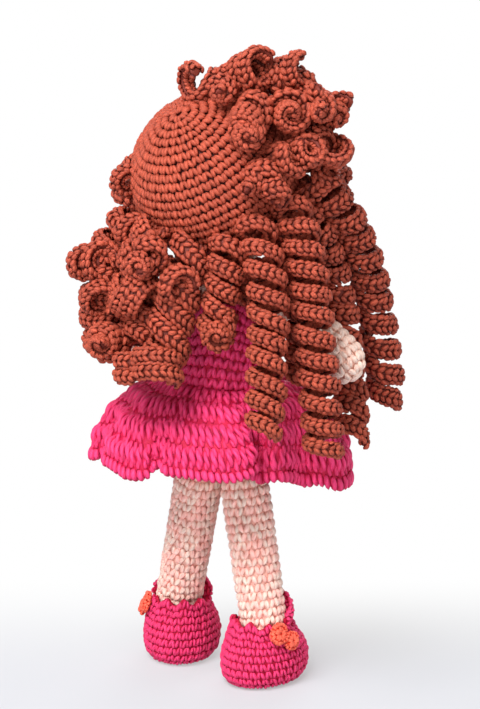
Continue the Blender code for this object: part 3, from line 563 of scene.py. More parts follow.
def strip_stitches(grid, rng, wide=False, fat=1.0):
    """The plaited outer face of a strip, the cords along its edges, and its inner face.

    Two rows of strands slant opposite ways along the outer face, like an arrow head for each
    stitch; a wide strip has four. A cord of longer strands runs along each edge.
    """
    count = max(4, int(round(distances(grid[0][:, 0])[-1] / STRIP_PITCH)))
    faces = ((((0.004, 0.066), (0.140, 0.078)), ((0.496, 0.434), (0.360, 0.422))) if wide
             else (((0.008, 0.125),), ((0.495, 0.380),)))
    rows = [(sign * start, sign * end, -0.42, 0.46)
            for face in faces for start, end in face for sign in (1, -1)]
    rows += [(sign * 0.165, sign * 0.245, -0.60, 0.60) for sign in (1, -1)]
    parts = []
    for start, end, back, front in rows:
        index = np.arange(count)[:, None] + 0.5 + varied(rng, 0.07, count)
        turn = start + (end - start) * strand_steps + varied(rng, 0.006, count)
        tilt = (front - back) * (1 + varied(rng, 0.10, count))
        place = (index + back + tilt * strand_steps) / count
        keep = (place.min(axis=1) > 0.002) & (place.max(axis=1) < 0.998)
        size = fat * (1 + varied(rng, 0.10, count))[keep]
        lift = STRIP_RISE * (bulge() * 1.5 - 0.8) + varied(rng, 0.00015, keep.sum())
        parts.append(strands(
            grid, turn[keep], place[keep], lift, STRIP_WIDTH * size * (0.45 + 0.55 * bulge()),
            STRIP_HEIGHT * size * (0.5 + 0.5 * bulge()), rng))
    return parts


def hair_strip(name, loops, rng, root):
    """One ringlet or curl: its loops of crocheted strip, in one mesh.

    A loop's middle line runs through three places from its root in the cap, or straight from
    one place to another. Its radius opens from a share of the full one at its root.
    """
    parts = []
    for middle, turns, width, tall, tip, hold, lean in loops:
        places = [head_centre + CAP_RADIUS * np.array(place) for place in middle]
        if len(middle) == 3:
            corners = [head_centre + (CAP_RADIUS - 0.001) * unit(np.array(middle[0])), *places]
        else:
            corners = [places[0] + (places[1] - places[0]) * share for share in (0, 1 / 3, 2 / 3, 1)]
        grid = strip_grid(corners, turns, width * RINGLET_RADIUS, rng, tall, THICK if tall < THIN_FROM else THIN,
                          root if len(middle) == 3 else 1.0, root + 0.2, tip, turns - hold, lean)
        parts += [shell(grid, 0.0002, shade=0.42), *strip_stitches(grid, rng, wide=tall > WIDE_PAST)]
    piece = knit_piece(name + "_strip", parts, russet)
    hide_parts(name)
    return piece


# name: its loops. Each has its middle line's places, as shares of the cap's radius from the
# head's centre: three for a strip that is sewn to the cap, two for one that is wound on from it.
# Then the turns, the width as a share of a full ringlet's, half the strip's height, the share of
# the width left at the tip, the turns before it starts to close, and the lean
RINGLETS = {
    "ringlet_back_a": (
        (((-1.14, 0.95, -0.60), (-1.07, 0.84, -1.57), (-1.22, 1.37, -2.62)), 10, 0.96, 0.0021, 0.8, 9.3, 0.15),
        (((-0.94, 0.27, -0.48), (-1.06, 0.26, -0.94)), 2.6, 0.82, 0.0026, 0.8, 1.9, 0.1),
        (((-0.59, 0.47, -0.90), (-0.63, 0.45, -1.34)), 2.8, 0.78, 0.0026, 0.8, 2.1, 0.1),
    ),
    "ringlet_back_b": (
        (((-1.33, 0.35, -0.25), (-1.49, 0.61, -1.50), (-1.70, 0.72, -2.97)), 12, 1, 0.0021, 0.8, 11.3, 0.05),
        (((-1.11, 0.10, -0.78), (-1.22, 0.43, -2.21)), 6.5, 0.74, 0.0024, 0.9, 5.8, 0.1),
    ),
    "ringlet_side_d": (
        (((-1.51, -0.13, 0.01), (-1.45, -1.50, -1.20), (-1.58, -1.40, -2.93)), 11, 1, 0.0033, 0.8, 10.3, 0.15),
    ),
    "ringlet_side_e": (
        (((-1.45, 0.06, -0.47), (-1.01, -1.35, -1.46), (-1.70, -0.13, -3.03)), 11, 0.88, 0.0031, 0.8, 10.3, 0.15),
    ),
    "ringlet_nape_f": (
        (((-0.63, 0.98, -0.76), (-0.45, 0.88, -1.30), (-0.42, 1.00, -1.66)), 5, 0.94, 0.0024, 0.8, 4.3, 0.1),
        (((-0.51, 1.08, -1.55), (-0.63, 1.31, -1.57)), 1.3, 0.92, 0.0026, 0.25, 0.5, 0),
    ),
    "ringlet_nape_g": (
        (((-0.13, 1.10, -0.85), (0.10, 1.05, -1.47), (0.04, 1.36, -1.98)), 4.8, 1.12, 0.0034, 0.8, 4.1, 0.35),
        (((0.02, 1.22, -1.00), (-0.21, 1.32, -1.02)), 1.2, 0.98, 0.0026, 0.9, 0.8, 0),
        (((0.12, 1.44, -1.74), (0.00, 1.55, -2.08)), 2.1, 1.15, 0.0026, 0.95, 1.6, 0.1),
        (((0.35, 1.04, -1.34), (0.43, 1.17, -1.80)), 2.4, 1.05, 0.0028, 0.8, 1.8, 0.1),
        (((0.42, 1.43, -1.86), (0.34, 1.52, -2.12)), 1.8, 0.95, 0.0026, 0.9, 1.3, 0.1),
    ),
    "ringlet_nape_h": (
        (((0.41, 1.08, -0.61), (0.56, 1.03, -1.05), (0.68, 1.07, -1.39)), 3, 1.06, 0.0042, 0.8, 2.3, 0.2),
        (((0.33, 1.28, -0.79), (0.26, 1.52, -0.80)), 1.4, 0.8, 0.0026, 0.2, 0.5, 0),
        (((0.59, 1.24, -1.15), (0.30, 1.22, -1.25)), 1.2, 1.15, 0.005, 0.9, 0.8, 0),
        (((0.33, 1.14, -0.61), (0.19, 1.28, -0.73)), 1.3, 0.8, 0.0028, 0.8, 0.6, 0),
    ),
    "ringlet_side_i": (
        (((1.02, 0.71, -0.67), (1.19, 0.88, -1.03), (1.00, 0.97, -1.90)), 6, 1.12, 0.003, 0.8, 5.3, -0.1),
        (((1.34, 0.92, -0.99), (1.13, 1.11, -0.89)), 1.2, 0.86, 0.0024, 0.95, 0.8, 0),
        (((1.10, 0.91, -0.97), (0.93, 1.06, -0.86)), 1.2, 1, 0.0024, 0.95, 0.8, 0),
        (((1.07, 1.05, -1.29), (0.86, 1.23, -1.35)), 1.3, 0.95, 0.0028, 0.9, 0.8, 0),
        (((0.79, 1.17, -1.74), (0.75, 1.58, -1.76)), 2.2, 1.1, 0.004, 0.2, 0.5, 0),
    ),
    "ringlet_side_j": (
        (((1.29, -0.27, 0.00), (1.30, -0.24, -0.45), (1.18, -0.08, -0.82)), 3.5, 0.88, 0.003, 0.8, 2.8, 0),
        (((0.97, 0.46, -0.02), (0.80, 0.64, -0.05)), 1.2, 0.85, 0.0024, 0.9, 0.8, 0),
        (((0.76, 0.85, -0.52), (0.52, 0.97, -0.52)), 1.5, 0.85, 0.0026, 0.9, 0.8, 0),
    ),
    "ringlet_front_left_a": (
        (((1.42, -0.66, -0.08), (1.26, -1.10, -1.30), (1.22, -0.96, -2.30)), 7, 0.94, 0.0026, 0.8, 6.3, 0.1),
    ),
    "ringlet_front_left_b": (
        (((1.14, -0.90, 0.56), (1.16, -1.56, -0.90), (0.80, -1.24, -2.20)), 8.5, 0.88, 0.0026, 0.8, 7.8, 0.1),
    ),
    "ringlet_front_right": (
        (((-1.00, -0.82, 1.08), (-1.10, -1.70, -0.50), (-0.70, -1.24, -2.10)), 9, 0.88, 0.0026, 0.8, 8.3, 0.1),
    ),
}

rng = np.random.default_rng(13)
for name, loops in RINGLETS.items():
    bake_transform(hair_strip(name, loops, rng, root=0.3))

# Short curls of the same strip, rolled up with an open middle, stand up on the crown, the right
# temple and the fringe. Most are sewn on in twos and threes from one root.
# name: its loops, laid out as above
CURLS = {
    "curl_crown_a": (
        (((-0.02, 0.10, 1.04), (0.10, 0.16, 1.13), (0.20, 0.34, 1.14)), 1.9, 1.0, 0.0030, 0.9, 1.3, 0),
        (((-0.21, 0.26, 1.11), (-0.34, 0.61, 1.07)), 1.5, 0.72, 0.0024, 0.25, 0.4, 0),
    ),
    "curl_crown_b": (
        (((-0.25, 0.03, 1.06), (-0.28, 0.02, 1.22), (-0.63, 0.13, 1.36)), 3, 1.04, 0.003, 0.92, 2.2, 0),
        (((-0.18, 0.06, 1.26), (-0.38, 0.30, 1.11)), 1.3, 0.62, 0.0022, 0.8, 0.3, 0),
    ),
    "curl_crown_c": (
        (((-0.65, -0.20, 1.00), (-0.64, -0.26, 1.20), (-0.98, -0.21, 1.30)), 2.8, 1, 0.003, 0.85, 1.8, 0),
        (((-0.86, -0.40, 1.15), (-1.05, -0.20, 0.96)), 1.8, 0.68, 0.0026, 0.8, 0.8, 0),
    ),
    "curl_crown_d": (
        (((-1.02, -0.16, 0.87), (-1.11, -0.19, 1.01), (-1.33, -0.09, 1.11)), 1.4, 0.9, 0.0034, 0.8, 0.8, 0),
        (((-1.15, -0.23, 0.90), (-1.42, 0.21, 0.90)), 1.3, 0.88, 0.0036, 0.15, 0.5, 0),
    ),
    "curl_crown_e": (
        (((-1.19, -0.30, 0.70), (-1.28, -0.38, 0.81), (-1.46, -0.27, 0.91)), 1.8, 0.84, 0.0032, 0.85, 1, 0),
        (((-1.32, -0.34, 0.80), (-1.46, -0.20, 0.76)), 1.3, 0.62, 0.003, 0.7, 0.3, 0),
    ),
    "curl_crown_f": (
        (((-0.91, 0.05, 0.78), (-1.10, 0.37, 0.89)), 1.7, 1.22, 0.0036, 0.1, 0.45, 0),
    ),
    "curl_temple_g": (
        (((-0.62, 0.22, 0.95), (-0.66, 0.52, 0.86), (-0.72, 0.80, 0.66)), 2.6, 1, 0.0036, 0.30, 1.3, 0),
        (((-0.66, 0.62, 0.66), (-0.80, 0.88, 0.68)), 1.8, 0.86, 0.0024, 0.15, 0.7, 0),
    ),
    "curl_temple_h": (
        (((-1.00, 0.35, 0.33), (-1.07, 0.38, 0.37), (-1.21, 0.45, 0.45)), 1.2, 1.05, 0.0023, 0.95, 0.8, 0),
        (((-1.15, 0.15, 0.39), (-1.31, 0.29, 0.49)), 1.15, 0.9, 0.0026, 0.92, 0.8, 0),
    ),
    "curl_temple_i": (
        (((-1.30, -0.29, 0.34), (-1.42, -0.19, 0.40), (-1.48, 0.10, 0.51)), 1.25, 1.05, 0.004, 0.8, 0.8, 0),
        (((-1.18, -0.10, 0.47), (-1.32, -0.06, 0.43)), 1.1, 0.95, 0.0023, 0.95, 0.8, 0),
        (((-1.28, -0.19, 0.03), (-1.34, -0.14, 0.16)), 1.3, 0.78, 0.0017, 0.9, 0.8, 0),
    ),
    "curl_temple_j": (
        (((-0.83, 0.61, 0.33), (-0.96, 0.69, 0.18), (-1.13, 0.68, -0.08)), 2.4, 0.66, 0.003, 0.8, 1.6, 0),
        (((-0.83, 0.71, 0.24), (-0.84, 0.89, 0.05)), 1.4, 0.58, 0.0026, 0.7, 0.5, 0),
    ),
    "curl_fringe_a": (
        (((0.28, -0.97, 1.02), (0.42, -1.23, 0.95), (0.52, -1.26, 0.85)), 2, 0.9, 0.0032, 0.6, 0.8, 0),
    ),
    "curl_fringe_b": (
        (((0.54, -0.88, 0.66), (0.63, -1.06, 0.54), (0.68, -1.13, 0.38)), 2, 0.76, 0.0028, 0.6, 0.9, 0),
    ),
}
for name, loops in CURLS.items():
    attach(hair_strip(name, loops, rng, root=0.6), "head")


# The trunk is a stuffed tube of cream single crochet that narrows to the neck. Only its neck
# shows above the dress.
# the trunk's outline: shares of its height, of its waist's half width, and of depth to width
TORSO_SHARES = np.array((
    (0.000, 0.74, 0.88), (0.045, 0.91, 0.88), (0.120, 1.00, 0.88), (0.250, 0.99, 0.88), (0.340, 0.95, 0.88),
    (0.420, 0.89, 0.88), (0.520, 0.80, 0.88), (0.620, 0.70, 0.88), (0.700, 0.60, 0.90), (0.760, 0.50, 0.93),
    (0.840, 0.435, 0.97), (0.900, 0.39, 1.00)))
TORSO_BOTTOM, TORSO_HEIGHT, WAIST_RADIUS, NECK_RADIUS = 0.0945, 0.1010, 0.023, 0.0086
COVERED_SHARE = 0.74
# how far inside the CAD's skin the fabric of the trunk and limbs lies
LIMB_DEPTH = 0.0010


def spine(height):
    """The point at each height of the spine, which leans to one side from hips to neck."""
    height = np.asarray(height, float)
    lean = NECK[0] * (height - HIP_HEIGHT) / (NECK[2] - HIP_HEIGHT)
    return np.stack([lean, np.zeros_like(height), height], -1)


def torso_radii(height):
    """Half width and half depth of the trunk at a height, from its outline."""
    share = (np.asarray(height) - TORSO_BOTTOM) / TORSO_HEIGHT
    places, widths, depths = TORSO_SHARES.T
    width = np.maximum(NECK_RADIUS, WAIST_RADIUS * np.interp(share, places, widths))
    return width, width * np.interp(share, places, depths)


def torso_grid(low, high, offset, rings=60, sides=96):
    """Level rings round the spine, an offset outside the trunk, between two heights or edges."""
    share = np.linspace(0, 1, rings)[:, None]
    height = (1 - share) * low + share * (high * np.ones((1, sides)))
    width, depth = torso_radii(height)
    return round_grid(spine(height) + np.stack([
        (width + offset) * np.cos(angles(sides)), (depth + offset) * np.sin(angles(sides)),
        np.zeros_like(height)], -1))


rng = np.random.default_rng(14)
trunk_grid = torso_grid(TORSO_BOTTOM, TORSO_BOTTOM + TORSO_HEIGHT, -LIMB_DEPTH)
trunk = knit_piece("torso_crochet", [
    shell(trunk_grid, 0.0004),
    v_stitches(trunk_grid, rng, 0.0046, 0.0040, first=COVERED_SHARE, fat=0.92)], cream)
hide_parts("torso", "torso_stuffing")
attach(trunk, "body")

# The arms are stuffed tubes of the same crochet with a round hand, sewn on at the shoulder.
ARM_RADIUS, ARM_LENGTH, HAND_RADIUS = 0.0075, 0.044, 0.0095
SHOULDER_HEIGHT, SHOULDER_OUT, SPLAY = 0.1785, 0.0181, {"left": 38.0, "right": 47.0}
SIDES = (("left", 1), ("right", -1))


def smoothed(values, times):
    """Each value drawn towards its neighbours' mean a number of times, with both ends kept."""
    for _ in range(times):
        values[..., 1:-1] = (values[..., :-2] + 2 * values[..., 1:-1] + values[..., 2:]) / 4
    return values


def limb_grid(start, direction, profile, rings=90, sides=72):
    """Rings round a straight line, from a smooth table of distances along it and radii."""
    profile = np.array(profile) - (0, LIMB_DEPTH)
    run = distances(profile)
    even = np.linspace(0, run[-1], rings)
    distance, radius = np.interp(even, run, profile[:, 0]), smoothed(np.interp(even, run, profile[:, 1]), 4)
    ahead = unit(np.asarray(direction, float))
    across = unit(np.cross((0, 1, 0), ahead))
    angle = angles(sides)[None, :, None]
    circle = np.cos(angle) * across + np.sin(angle) * np.cross(ahead, across)
    return round_grid(start + distance[:, None, None] * ahead + radius[:, None, None] * circle)


def joint_ball(radius):
    """The profile of a limb's round upper end."""
    return [(-radius * math.cos(a), radius * math.sin(a)) for a in np.linspace(0.35, 1.57, 8)]


arm_run = [(share * ARM_LENGTH, ARM_RADIUS + (HAND_RADIUS - ARM_RADIUS) * swell)
           for share, swell in ((0.15, 0.15), (0.45, 0.55), (0.70, 0.80), (0.86, 0.95), (1.0, 1.0))]
hand_end = [(ARM_LENGTH + HAND_RADIUS * math.sin(a), HAND_RADIUS * math.cos(a))
            for a in np.linspace(0.2, 1.5, 8)]
rng = np.random.default_rng(15)
for side, sign in SIDES:
    slope = math.radians(SPLAY[side])
    grid = limb_grid(spine(SHOULDER_HEIGHT) + (sign * SHOULDER_OUT, 0, 0),
                     (sign * math.sin(slope), 0, -math.cos(slope)),
                     joint_ball(ARM_RADIUS) + arm_run + hand_end)
    arm = knit_piece("arm_crochet_" + side, [
        shell(grid, 0.0002, shade=0.5), v_stitches(grid, rng, 0.0046, 0.0040, fat=0.92)], cream)
    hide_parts("arm_" + side, "arm_stuffing_" + side)
    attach(arm, "arm_" + side)

# The legs are stuffed tubes in a mottled cream and pink yarn, a ball at the hip and a foot
# that fills the shoe.
# the second colour is painted shade; the third is the pink ply of the marl
mottled = yarn("mottled_yarn", (1.0, 0.84, 0.72), (1.0, 0.58, 0.49), second=(1.0, 0.54, 0.48))
LEG_RADIUS, ANKLE_RADIUS, ANKLE_HEIGHT, ANKLE_SPREAD = 0.0102, 0.0098, 0.033, 0.0228
STAGGER = {"left": -0.0050, "right": 0.0070}
FOOT_LENGTH, TOE_LENGTH, TOE_RADIUS, SHOWN_SHARE = 0.016, 0.004, 0.006, 0.88
rng = np.random.default_rng(16)
for side, sign in SIDES:
    hip_point = np.array((sign * HIP_SPACING / 2, 0, HIP_HEIGHT))
    run = np.array((sign * ANKLE_SPREAD, STAGGER[side], ANKLE_HEIGHT)) - hip_point
    length = np.linalg.norm(run)
    profile = joint_ball(LEG_RADIUS)
    profile += [(length * s, LEG_RADIUS + (ANKLE_RADIUS - LEG_RADIUS) * s) for s in (0.33, 0.66, 1.0)]
    profile += [(length + FOOT_LENGTH, ANKLE_RADIUS), (length + FOOT_LENGTH + TOE_LENGTH, TOE_RADIUS)]
    grid = limb_grid(hip_point, run, profile)
    leg = knit_piece("leg_crochet_" + side, [
        shell(grid, 0.0002, shade=0.5),
        v_stitches(grid, rng, 0.0042, 0.0038, last=SHOWN_SHARE, fat=0.82)], mottled)
    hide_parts("leg_" + side, "leg_stuffing_" + side)
    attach(leg, "leg_" + side)

# The slippers are cups of tight pink single crochet, worked in rounds from an oval sole, with
# a scalloped edge that dips over the instep.
# its second colour is painted shade
pink = yarn("pink_yarn", (1.0, 0.062, 0.232), (0.48, 0.001, 0.036), sheen=0.10)
SHOE_HEIGHT, HALF_LENGTH, HALF_WIDTH, SHOE_FORWARD, SHOE_TURN = 0.029, 0.0224, 0.0174, 0.0020, 15
RIM_DROP, SCALLOP, SCALLOPS, SOLE_LIFT = 0.0052, 0.0016, 9, 0.0007
# the slipper's outline: shares of its height, half length and half width, and its shift ahead
SHOE_SHARES = np.array((
    (0.00, 0.08, 0.06, 0.00), (0.00, 0.40, 0.36, 0.00), (0.00, 0.70, 0.66, 0.00), (0.05, 0.87, 0.85, 0.00),
    (0.13, 0.96, 0.95, 0.00), (0.22, 1.00, 1.00, 0.00), (0.42, 0.99, 1.00, 0.00), (0.62, 0.90, 0.95, -0.02),
    (0.80, 0.77, 0.85, -0.05), (1.00, 0.68, 0.76, -0.08)))


def foot_frame(side, sign):
    """The place of a foot on the floor, and unit vectors along it and across it, outwards."""
    turn = math.radians(SHOE_TURN)
    return (np.array((sign * ANKLE_SPREAD, STAGGER[side], 0)),
            np.array((sign * math.sin(turn), -math.cos(turn), 0)),
            np.array((sign * math.cos(turn), math.sin(turn), 0)))


def shoe_grid(side, sign, inset, rings=100, sides=144):
    """Rings of a slipper from the middle of its sole to its edge.

    Each ring is an ellipse along and across the foot. It falls towards the toe by a share
    that grows with the cube of its height, and rises and falls in scallops near the edge.
    """
    run = distances(SHOE_SHARES[:, :3] * (SHOE_HEIGHT, HALF_LENGTH, HALF_WIDTH))
    even = np.linspace(0, run[-1], rings)
    table = smoothed(np.array([np.interp(even, run, column) for column in SHOE_SHARES.T]), 8)
    height, length, width, shift = table[:, :, None, None]
    place, ahead, across = foot_frame(side, sign)
    angle = angles(sides)[None, :, None]
    points = place + ahead * (SHOE_FORWARD + shift * HALF_LENGTH)
    points = points + (length * HALF_LENGTH - inset) * np.cos(angle) * ahead
    points = points + (width * HALF_WIDTH - inset) * np.sin(angle) * across
    drop = RIM_DROP * height ** 3 * (1 + np.cos(angle)) / 2 - SCALLOP * height ** 6 * np.cos(SCALLOPS * angle)
    points[..., 2:] += np.maximum(height * SHOE_HEIGHT, inset + SOLE_LIFT) - drop
    return round_grid(points)


rng = np.random.default_rng(17)
for side, sign in SIDES:
    outer, inner = shoe_grid(side, sign, STITCH_DEPTH), shoe_grid(side, sign, 2 * STITCH_DEPTH)
    shoe = knit_piece("shoe_crochet_" + side, [
        fabric(outer[0], inner[0], shade=0.12),
        v_stitches(outer, rng, 0.0034, 0.0029, plump=0.72, lean=0.22, spread=0.30, fat=0.82)], pink)
    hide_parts("shoe_" + side)
    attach(shoe, "leg_" + side)

# An ankle strap of the same yarn rises from the slipper's edge over the instep. Its outer end
# is covered by a small orange bow: two round lobes with a turn of yarn drawn tight between.
# its second colour is painted shade
orange = yarn("orange_yarn", (1.0, 0.190, 0.115), (0.84, 0.070, 0.035))
STRAP_SWEEP, STRAP_OUT, STRAP_RISE, STRAP_ARCH = 86, 0.0025, 0.0026, 0.0065
STRAP_THICKNESS, STRAP_HEIGHT = 0.0009, 0.0019
BOW_TURN, BOW_LOOK_UP, BOW_TILT = math.radians(102), 0.30, math.radians(35)
# each lobe: its place along the bow, and its half length and half width
LOBES = ((-0.0038, 0.0038, 0.0044), (0.0036, 0.0032, 0.0036))


def oval_grid(centre, ahead, across, upward, long, wide, thick, rings=26, sides=48):
    """A flattened ball: an ellipse of three half lengths about its pole."""
    polar = np.linspace(0.12, np.pi - 0.12, rings)[:, None, None]
    angle = angles(sides)[None, :, None]
    return round_grid(centre + thick * np.cos(polar) * upward
                      + np.sin(polar) * (long * np.cos(angle) * ahead + wide * np.sin(angle) * across))


rng = np.random.default_rng(22)
for side, sign in SIDES:
    place, ahead, across = foot_frame(side, sign)
    sweep = np.radians(np.linspace(-STRAP_SWEEP, STRAP_SWEEP, 60))[:, None]
    outward = np.cos(sweep) * ahead + np.sin(sweep) * across
    line = place + outward * (ANKLE_RADIUS + STRAP_OUT)
    line[:, 2:] = SHOE_HEIGHT - RIM_DROP / 2 + STRAP_RISE + STRAP_ARCH * (1 + np.cos(2 * sweep)) / 2
    angle = angles(24)[None, :, None]
    grid = round_grid(line[:, None] + STRAP_THICKNESS * np.cos(angle) * outward[:, None]
                      + STRAP_HEIGHT * np.sin(angle) * LEVEL_UP)
    strap = knit_piece("strap_crochet_" + side, [
        shell(grid, 0.0002), *strip_stitches(grid, rng, fat=0.85)], pink)
    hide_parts("shoe_strap_" + side)
    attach(strap, "leg_" + side)

    middle = sum(np.array(corner) - standing_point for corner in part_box("shoe_bow_" + side)) / 2
    out = math.cos(BOW_TURN) * ahead + math.sin(BOW_TURN) * across
    level = math.cos(BOW_TURN) * across - math.sin(BOW_TURN) * ahead
    face = unit(out + BOW_LOOK_UP * LEVEL_UP)
    along = math.sin(BOW_TILT) * unit(np.cross(level, face) * sign) - math.cos(BOW_TILT) * level
    along = unit(along - (along @ face) * face)
    upward = np.cross(face, along)
    parts = []
    for offset, long, wide in LOBES:
        lobe = oval_grid(middle + offset * along, along, upward, face, long, wide, 0.0013)
        parts += [shell(lobe, 0.0002), v_stitches(lobe, rng, 0.0027, 0.0022, plump=0.52)]
    knot = oval_grid(middle, face, upward, along, 0.0017, 0.0020, 0.0012)
    parts += [shell(knot), v_stitches(knot, rng, 0.0022, 0.0016, plump=0.42)]
    bow = knit_piece("bow_crochet_" + side, parts, orange)
    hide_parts("shoe_bow_" + side)
    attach(bow, "leg_" + side)

# The bodice is the close-fitting top of the dress, worked in rounds on the trunk in the same
# pink yarn, and cut lower under the arms.
FABRIC, EASE, WAISTLINE, BODICE_TOP, ARM_CUT = 0.0022, 0.0006, 0.134, 0.178, 0.0150
bodice_edge = (BODICE_TOP - ARM_CUT * np.abs(np.cos(angles(96))) ** 1.5)[None]
rng = np.random.default_rng(18)
face, outer, inner = (torso_grid(WAISTLINE, bodice_edge, EASE + FABRIC * share) for share in (0.5, 0.6, 0.4))
bodice = knit_piece("bodice_cloth", [fabric(outer[0], inner[0], open_start=True)], pink)
bodice_stitches = knit_piece("bodice_stitches", [v_stitches(face, rng, 0.0042, 0.0042, fat=0.88)], pink)
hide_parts("dress_bodice")
for piece in (bodice, bodice_stitches):
    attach(piece, "body")

# The skirt is a flared sheet of tall double crochet, gathered at the waist and ruffled at its
# hem. Every post is two strands twisted round each other, and the hem is a round of short ones.
HEM_SIDE, HEM_RISE, HEM_WIDTH, HEM_DEPTH, RUFFLE = 0.0925, 0.0135, 0.0600, 0.0540, 0.0030
# the flare from waist to hem: shares of the drop and of the way out to the hem
SKIRT_SHARES = np.array(((0.00, 0.00), (0.12, 0.42), (0.34, 0.72), (0.66, 0.93), (1.00, 1.00)))
# each fold: its place and half width as shares of a turn, its depth as a share of the skirt's
# width, and how far its two sides are drawn together
FOLDS = ((0.020, 0.034, 0.12, 0.30), (0.110, 0.038, 0.10, 0.20), (0.228, 0.030, 0.10, 0.35),
         (0.372, 0.060, 0.38, 0.60), (0.460, 0.048, 0.28, 0.42), (0.560, 0.036, 0.13, 0.35),
         (0.660, 0.038, 0.13, 0.35), (0.765, 0.042, 0.12, 0.30), (0.880, 0.042, 0.13, 0.30))
# where the hem hangs lower: its place and half width as shares of a turn, and by how much
SAG_TURN, SAG_WIDTH, SAG = 0.195, 0.03, 0.0045
POST_GAUGE, POST_WIDTH, POST_HEIGHT, POST_ROUNDS = 0.0031, 0.00118, 0.00112, 4
HEM_GAUGE, HEM_STRAND_WIDTH, HEM_STRAND_HEIGHT, HEM_STRAND_RISE = 0.0029, 0.00145, 0.0013, 0.0009


def evened(points):
    """The same surface with its rings, and the points of each ring, set evenly apart."""
    rings, sides = points.shape[:2]
    run = distances(points)
    place = np.interp(np.linspace(0, run[-1], rings), run, np.arange(rings))
    low = np.minimum(place.astype(int), rings - 2)
    share = (place - low)[:, None, None]
    even = []
    for ring in points[low] * (1 - share) + points[low + 1] * share:
        closed = np.concatenate([ring, ring[:1]])
        run = distances(closed)
        target = np.arange(sides) / sides * run[-1]
        even.append(np.stack([np.interp(target, run, column) for column in closed.T], -1))
    return np.array(even)


def skirt_grid(rings=96, sides=480):
    """Rings of the skirt from waist to hem.

    A ring is an ellipse drawn in at each fold by a cosine that grows with the flare. The sides
    of a fold slide together by a sine, so that the deep ones nearly close. The hem rises
    behind, ripples between the folds, and hangs lower on the left.
    """
    drop = np.linspace(0, 1, rings)
    drop, flare = drop[:, None], smoothed(np.interp(drop, *SKIRT_SHARES.T), 8)[:, None]
    angle = angles(sides)
    turn = angle / (2 * np.pi)
    depth, slide = np.zeros(sides), np.zeros(sides)
    for place, half_width, shade_colour, pull in FOLDS:
        away = np.clip(((turn - place + 0.5) % 1 - 0.5) / half_width, -1, 1)
        wall = np.clip((1 - np.abs(away)) / 0.5, 0, 1)
        depth += shade_colour * wall * wall * (3 - 2 * wall)
        slide -= pull * half_width * 2 * np.pi * np.sign(away) * np.sin(np.pi * np.abs(away) ** 3)
    turned = angle + slide * flare ** 1.5
    width, reach = ((waist + FABRIC / 2 + EASE) + flare * (hem - STITCH_DEPTH - (waist + FABRIC / 2 + EASE))
                    for waist, hem in zip(torso_radii(WAISTLINE), (HEM_WIDTH, HEM_DEPTH)))
    folded = 1 - depth * flare ** 1.3
    hem = HEM_SIDE + HEM_RISE * np.maximum(np.sin(angle), 0) - RUFFLE * np.abs(1 - depth / 0.13) * flare
    hem = hem - SAG * np.exp(-((turn - SAG_TURN) / SAG_WIDTH) ** 2) * flare
    return round_grid(evened(np.stack([
        spine(WAISTLINE)[0] * (1 - flare) + width * folded * np.cos(turned), reach * folded * np.sin(turned),
        WAISTLINE - drop * (WAISTLINE - hem)], -1)))


def twisted_posts(grid, rng, low, high):
    """A row of double crochet: each post is two strands that wind round one line.

    A strand's place across the post is a sine of its way up, and its lift is the matching
    cosine, half a turn on for the second strand.
    """
    posts = int(round(ring_length(grid, (low + high) / 2) / POST_GAUGE))
    steps = np.linspace(0, 1, 13)
    column = (np.arange(posts) + rng.random())[:, None] / posts
    stance = varied(rng, 0.12, posts)
    parts = []
    for phase in (0.0, np.pi):
        swing = 1.05 * 2 * np.pi * steps + phase + varied(rng, 0.5, posts)
        turn = column + (0.22 * np.sin(swing) + stance * (steps - 0.5)) / posts
        place = low + (high - low) * (-0.04 + 1.08 * steps + varied(rng, 0.02, posts))
        size = (1 + varied(rng, 0.08, posts)) * np.sin(np.pi * (0.08 + 0.84 * steps)) ** 0.35
        lift = 0.0009 * np.cos(swing) + 0.0012 * (np.sin(np.pi * steps) - 0.5)
        parts.append(strands(grid, turn, np.clip(place, 0, 0.999), lift, POST_WIDTH * size,
                             POST_HEIGHT * size, rng))
    return parts


rng = np.random.default_rng(19)
grid = skirt_grid()
kept = int(0.975 * len(grid[0]))
outer, inner = ((grid[0] + way * 0.0003 * grid[1])[:kept, ::2] for way in (1, -1))
skirt = knit_piece("skirt_cloth", [fabric(outer, inner, shade=0.3, open_start=True)], pink)
parts = []
for index in range(POST_ROUNDS):
    parts += twisted_posts(grid, rng, 0.222 * index, 0.222 * (index + 1))
count = int(round(ring_length(grid, 0.95) / HEM_GAUGE))
turn = (np.arange(count)[:, None] + 0.60 * (strand_steps - 0.5) + varied(rng, 0.06, count)) / count
place = np.minimum(0.880 + 0.119 * strand_steps + varied(rng, 0.003, count), 0.999)
size = (1 + varied(rng, 0.08, count)) * bulge(0.6)
for lift in (HEM_STRAND_RISE, -HEM_STRAND_RISE):
    parts.append(strands(grid, turn, place, lift * bulge(0.6), HEM_STRAND_WIDTH * size,
                         HEM_STRAND_HEIGHT * size, rng))
skirt_posts = knit_piece("skirt_posts", parts, pink)
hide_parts("dress_skirt")
for piece in (skirt, skirt_posts):
    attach(piece, "body")


# The studio: a sheet of white paper under the doll, white all round it, a large soft window
# of light behind the camera's left shoulder, and a camera a little above and behind the doll.
PAPER_COLOUR, WORLD_LIGHT, FLOOR_REACH = (0.50, 0.515, 0.56, 1), 0.18, 9
AWAY_FROM_CAMERA = (0.423, -0.906, 0)
# how the paper fades to plain white away from the doll: what is measured, from what distance
# to what distance, and the share of white at the near end
FADES = (("DOT_PRODUCT", -0.03, 0.12, 0.36), ("LENGTH", 0.25, 0.60, 0.0))
